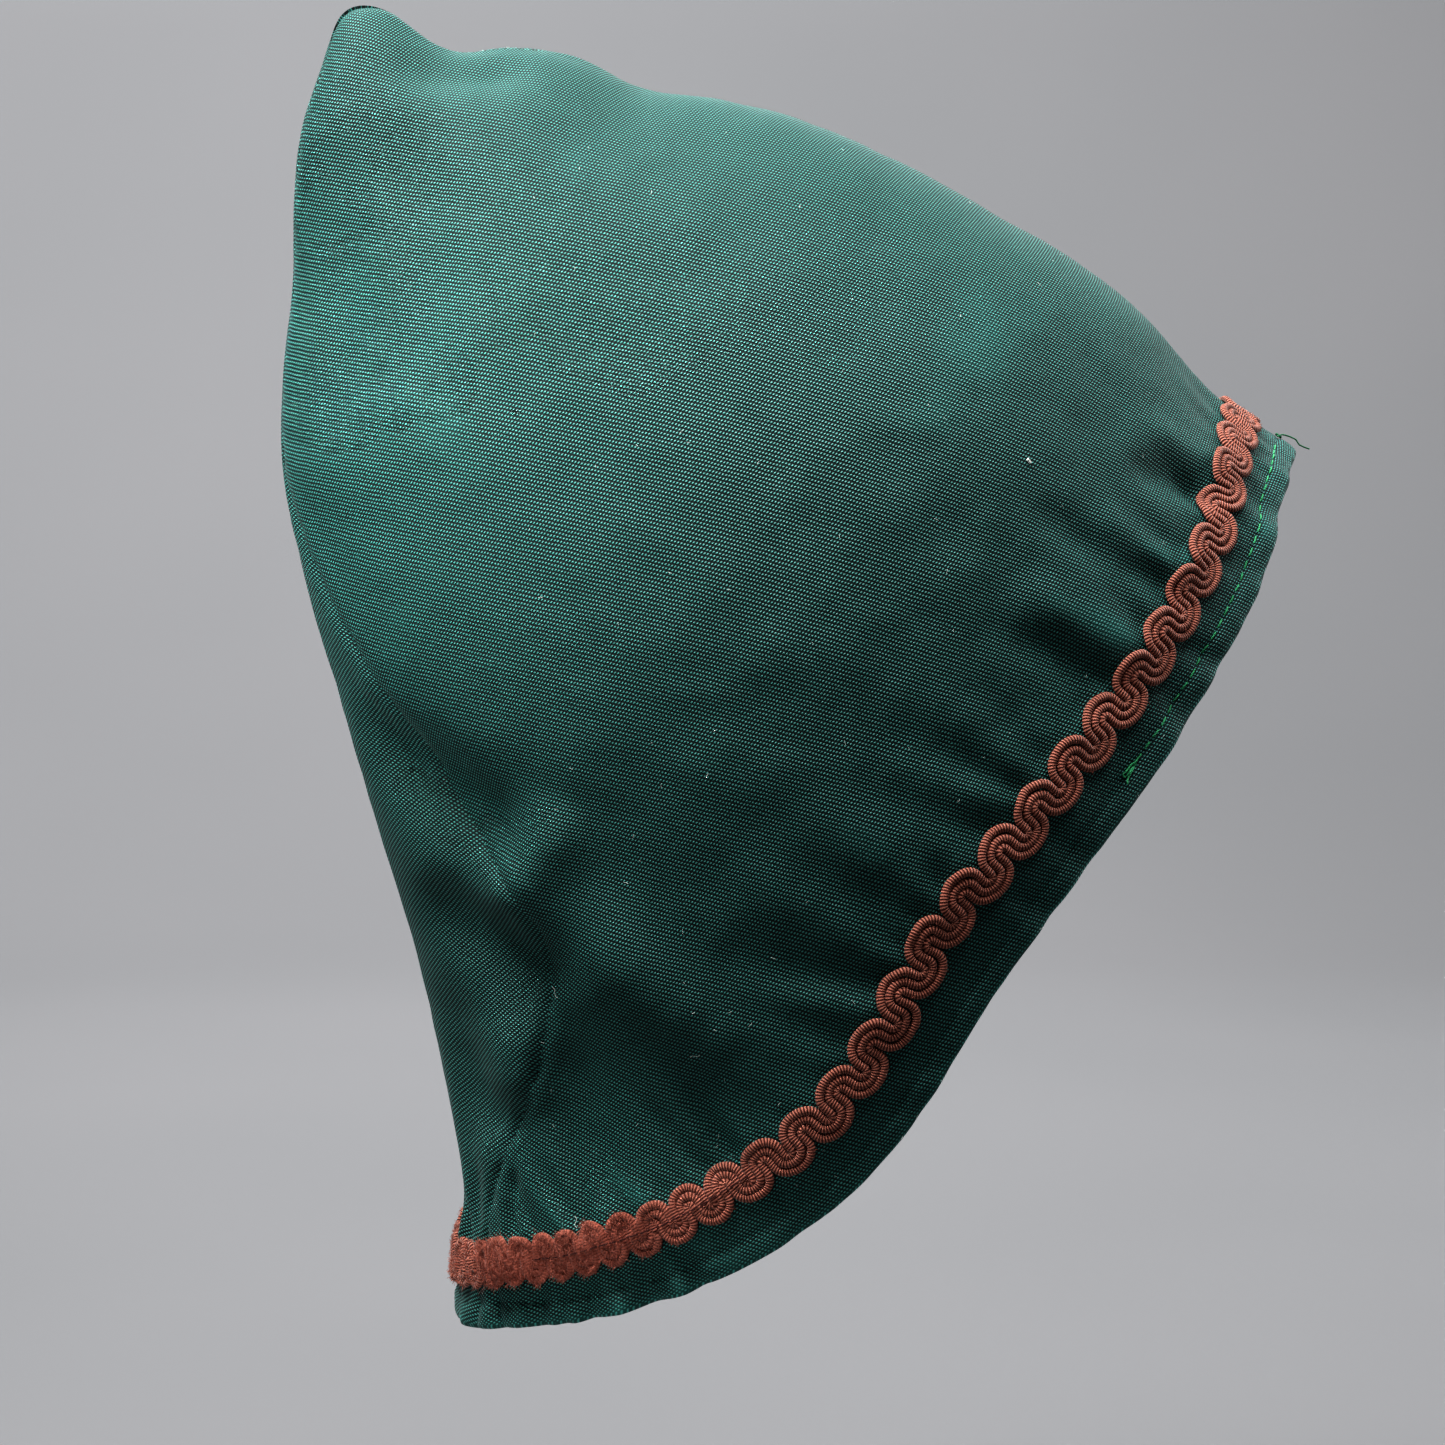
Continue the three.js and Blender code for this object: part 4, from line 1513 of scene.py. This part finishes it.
# %% Stitches of the hem
HEM_LINE = 5.6
STITCH_SHOWN = 3.0
STITCH_GAP = 1.0
THREAD_RADIUS = 0.23
STITCH_HEIGHTS = np.array([-0.5, 0.05, 0.18, 0.05, -0.5])
HEM_FROM = 0.085
HEM_TO = 0.425
HEM_SEED = 31
HEM_PLACES = np.linspace(HEM_FROM, HEM_TO, 700)
hem_points, _ = on_cloth(HEM_PLACES, HEM_LINE)
hem_length = lengths_along(hem_points)
hem_row = stitch_row(
    HEM_PLACES,
    hem_length,
    lambda where: np.full_like(where, HEM_LINE),
    STITCH_HEIGHTS,
    THREAD_RADIUS,
    STITCH_SHOWN,
    STITCH_GAP,
    HEM_SEED,
)
strands_object("hem_stitches", hem_row, pale_thread)

# %% The tangle at the end of the hem stitches
# The thread goes to and fro over its last two stitches: along the row and aside of it, both in mm
TANGLE_ALONG = [-6.5, -1.5, 1.2, 0.2, -4.2, -5.4, -1.0, 0.9]
TANGLE_ASIDE = [0.2, -0.3, 0.5, 1.1, 0.6, -0.2, -0.7, -1.5]
TANGLE_STEP = 0.9
TANGLE_HEIGHT = 0.32
TANGLE_CROSSING = 0.2
tangle_flat = evenly(np.stack([TANGLE_ALONG, TANGLE_ASIDE], axis=1), TANGLE_STEP)
tangle_run = hem_length[-1] + tangle_flat[:, 0]
tangle_place = np.interp(tangle_run, hem_length, HEM_PLACES)
tangle_height = TANGLE_HEIGHT + TANGLE_CROSSING * np.sin(1.7 * np.arange(len(tangle_run)))
tangle = laid(tangle_place, HEM_LINE + tangle_flat[:, 1], tangle_height, THREAD_RADIUS)
strands_object("hem_stitch_tangle", [tangle], pale_thread)

# %% Knot and loose tail at the forehead
KNOT_PLACE = 0.055
KNOT_SIZE = 0.62
KNOT_RISE = 0.7
# The tail goes ahead and down in steps of TAIL_SCALE mm, and away from the cloth in steps of TAIL_OFF mm
TAIL_AHEAD = [0, 4, 10, 16, 20, 26, 32]
TAIL_DOWN = [0, -0.5, 3, 7, 12, 13.5, 14]
TAIL_AWAY = [0, 0.3, 1.2, 1.8, 1.4, 0.8, 0]
TAIL_SCALE = 0.262
TAIL_OFF = 0.5
TAIL_RISE = 0.8
TAIL_STEP = 0.5
TAIL_THIN = 0.85
right_way = np.array([math.cos(AZIMUTH), math.sin(AZIMUTH), 0])
knot_at, knot_normal = on_cloth(np.array([KNOT_PLACE]), np.array([HEM_LINE]))
knot_at, knot_normal = knot_at[0], knot_normal[0]
side_way = unit(np.cross(knot_normal, right_way))
ahead_way = np.cross(side_way, knot_normal)
t = np.linspace(0, TURN, 40)
loops = np.stack([np.sin(t) + 2 * np.sin(2 * t), np.cos(t) - 2 * np.cos(2 * t), -np.sin(3 * t)], axis=1)
loops = loops * KNOT_SIZE / 2
knot_path = knot_at + knot_normal * KNOT_RISE * (1 + loops[:, 2:])
knot_path = knot_path + ahead_way * loops[:, :1] + side_way * loops[:, 1:2]
down_way = np.array([0, 0, -1.0])
tail_path = knot_at + knot_normal * TAIL_RISE + TAIL_SCALE * np.outer(TAIL_AHEAD, right_way)
tail_path += TAIL_SCALE * np.outer(TAIL_DOWN, down_way) + TAIL_OFF * np.outer(TAIL_AWAY, knot_normal)
tail_path = evenly(tail_path, TAIL_STEP)
tail_up = np.broadcast_to(side_way, tail_path.shape)
threads = [
    strand(knot_path, knot_path - knot_at, THREAD_RADIUS, THREAD_SIDES),
    strand(tail_path, tail_up, THREAD_RADIUS * TAIL_THIN, THREAD_SIDES),
]
strands_object("forehead_knot_and_tail", threads, dark_thread)

# %% Stitches along the middle of the gimp
SEWN_FROM = 14
SEWN_TO = 80
SEWN_RADIUS = 0.2
SEWN_SHOWN = 2.4
SEWN_GAP = 0.5
SEWN_HEIGHTS = np.array([-0.9, 0.0, 0.12, 0.0, -0.9])
SEWN_SEED = 33
GIMP_TOP = 2 * CORD_RADIUS * CORD_FLAT + 0.25
sewn_run = np.linspace(SEWN_FROM, SEWN_TO, 300)
sewn_places = np.interp(sewn_run, walk_length, walk_places)
sewn_row = stitch_row(
    sewn_places,
    sewn_run - SEWN_FROM,
    middle_at,
    GIMP_TOP + SEWN_HEIGHTS,
    SEWN_RADIUS,
    SEWN_SHOWN,
    SEWN_GAP,
    SEWN_SEED,
)
strands_object("gimp_stitches", sewn_row, rust_sewing)

# %% [markdown]
# ## Lint
# A worn cloth is never quite clean. A pale speck, a few loose fibres and some dust lie on the right side.
# They could be flecks in the cloth's colour, but small strands lie on top and throw their own shadows.

# %% Lint on the right panel
# Each fibre: how far back and how far up in mm, direction in degrees and length in mm
LINT = [(-6.5, -74.5, 20, 1.0), (108, -209, 60, 3.2), (77, -222, -25, 2.6), (103, -268, 80, 3.0)]
LINT_RADIUS = [0.42, 0.07, 0.06, 0.07]
LINT_RISE = 0.3
LINT_BEND = 0.35
DUST = 110
DUST_RADIUS = 0.05
# Limits of each speck of dust, in the same order
DUST_LIMITS = [(-60, 120), (-260, 60), (-90, 90), (0.3, 1.1)]
DUST_SEED = 51
rng = np.random.default_rng(DUST_SEED)
for _ in range(DUST):
    LINT.append([rng.uniform(*limits) for limits in DUST_LIMITS])
    LINT_RADIUS.append(DUST_RADIUS)
grid, normals, _ = ON_CLOTH[-1]
lint = []
for (back, up, turned, length), radius in zip(LINT, LINT_RADIUS):
    near = np.hypot(grid[..., 1] - back, grid[..., 2] - up)
    column, row = np.unravel_index(np.argmin(near), near.shape)
    point, normal = grid[column, row], normals[column, row]
    level = unit(np.cross(normal, np.array([0.0, 0.0, 1.0])))
    upright = np.cross(level, normal)
    angle = math.radians(turned)
    t = np.linspace(-0.5, 0.5, 7)[:, None] * length
    way = level * math.cos(angle) + upright * math.sin(angle)
    aside = -level * math.sin(angle) + upright * math.cos(angle)
    path = point + normal * LINT_RISE + way * t + aside * LINT_BEND * np.sin(t * 2.2)
    lint.append(strand(path, np.broadcast_to(normal, path.shape), radius, THREAD_SIDES))
strands_object("lint", lint, lint_white)
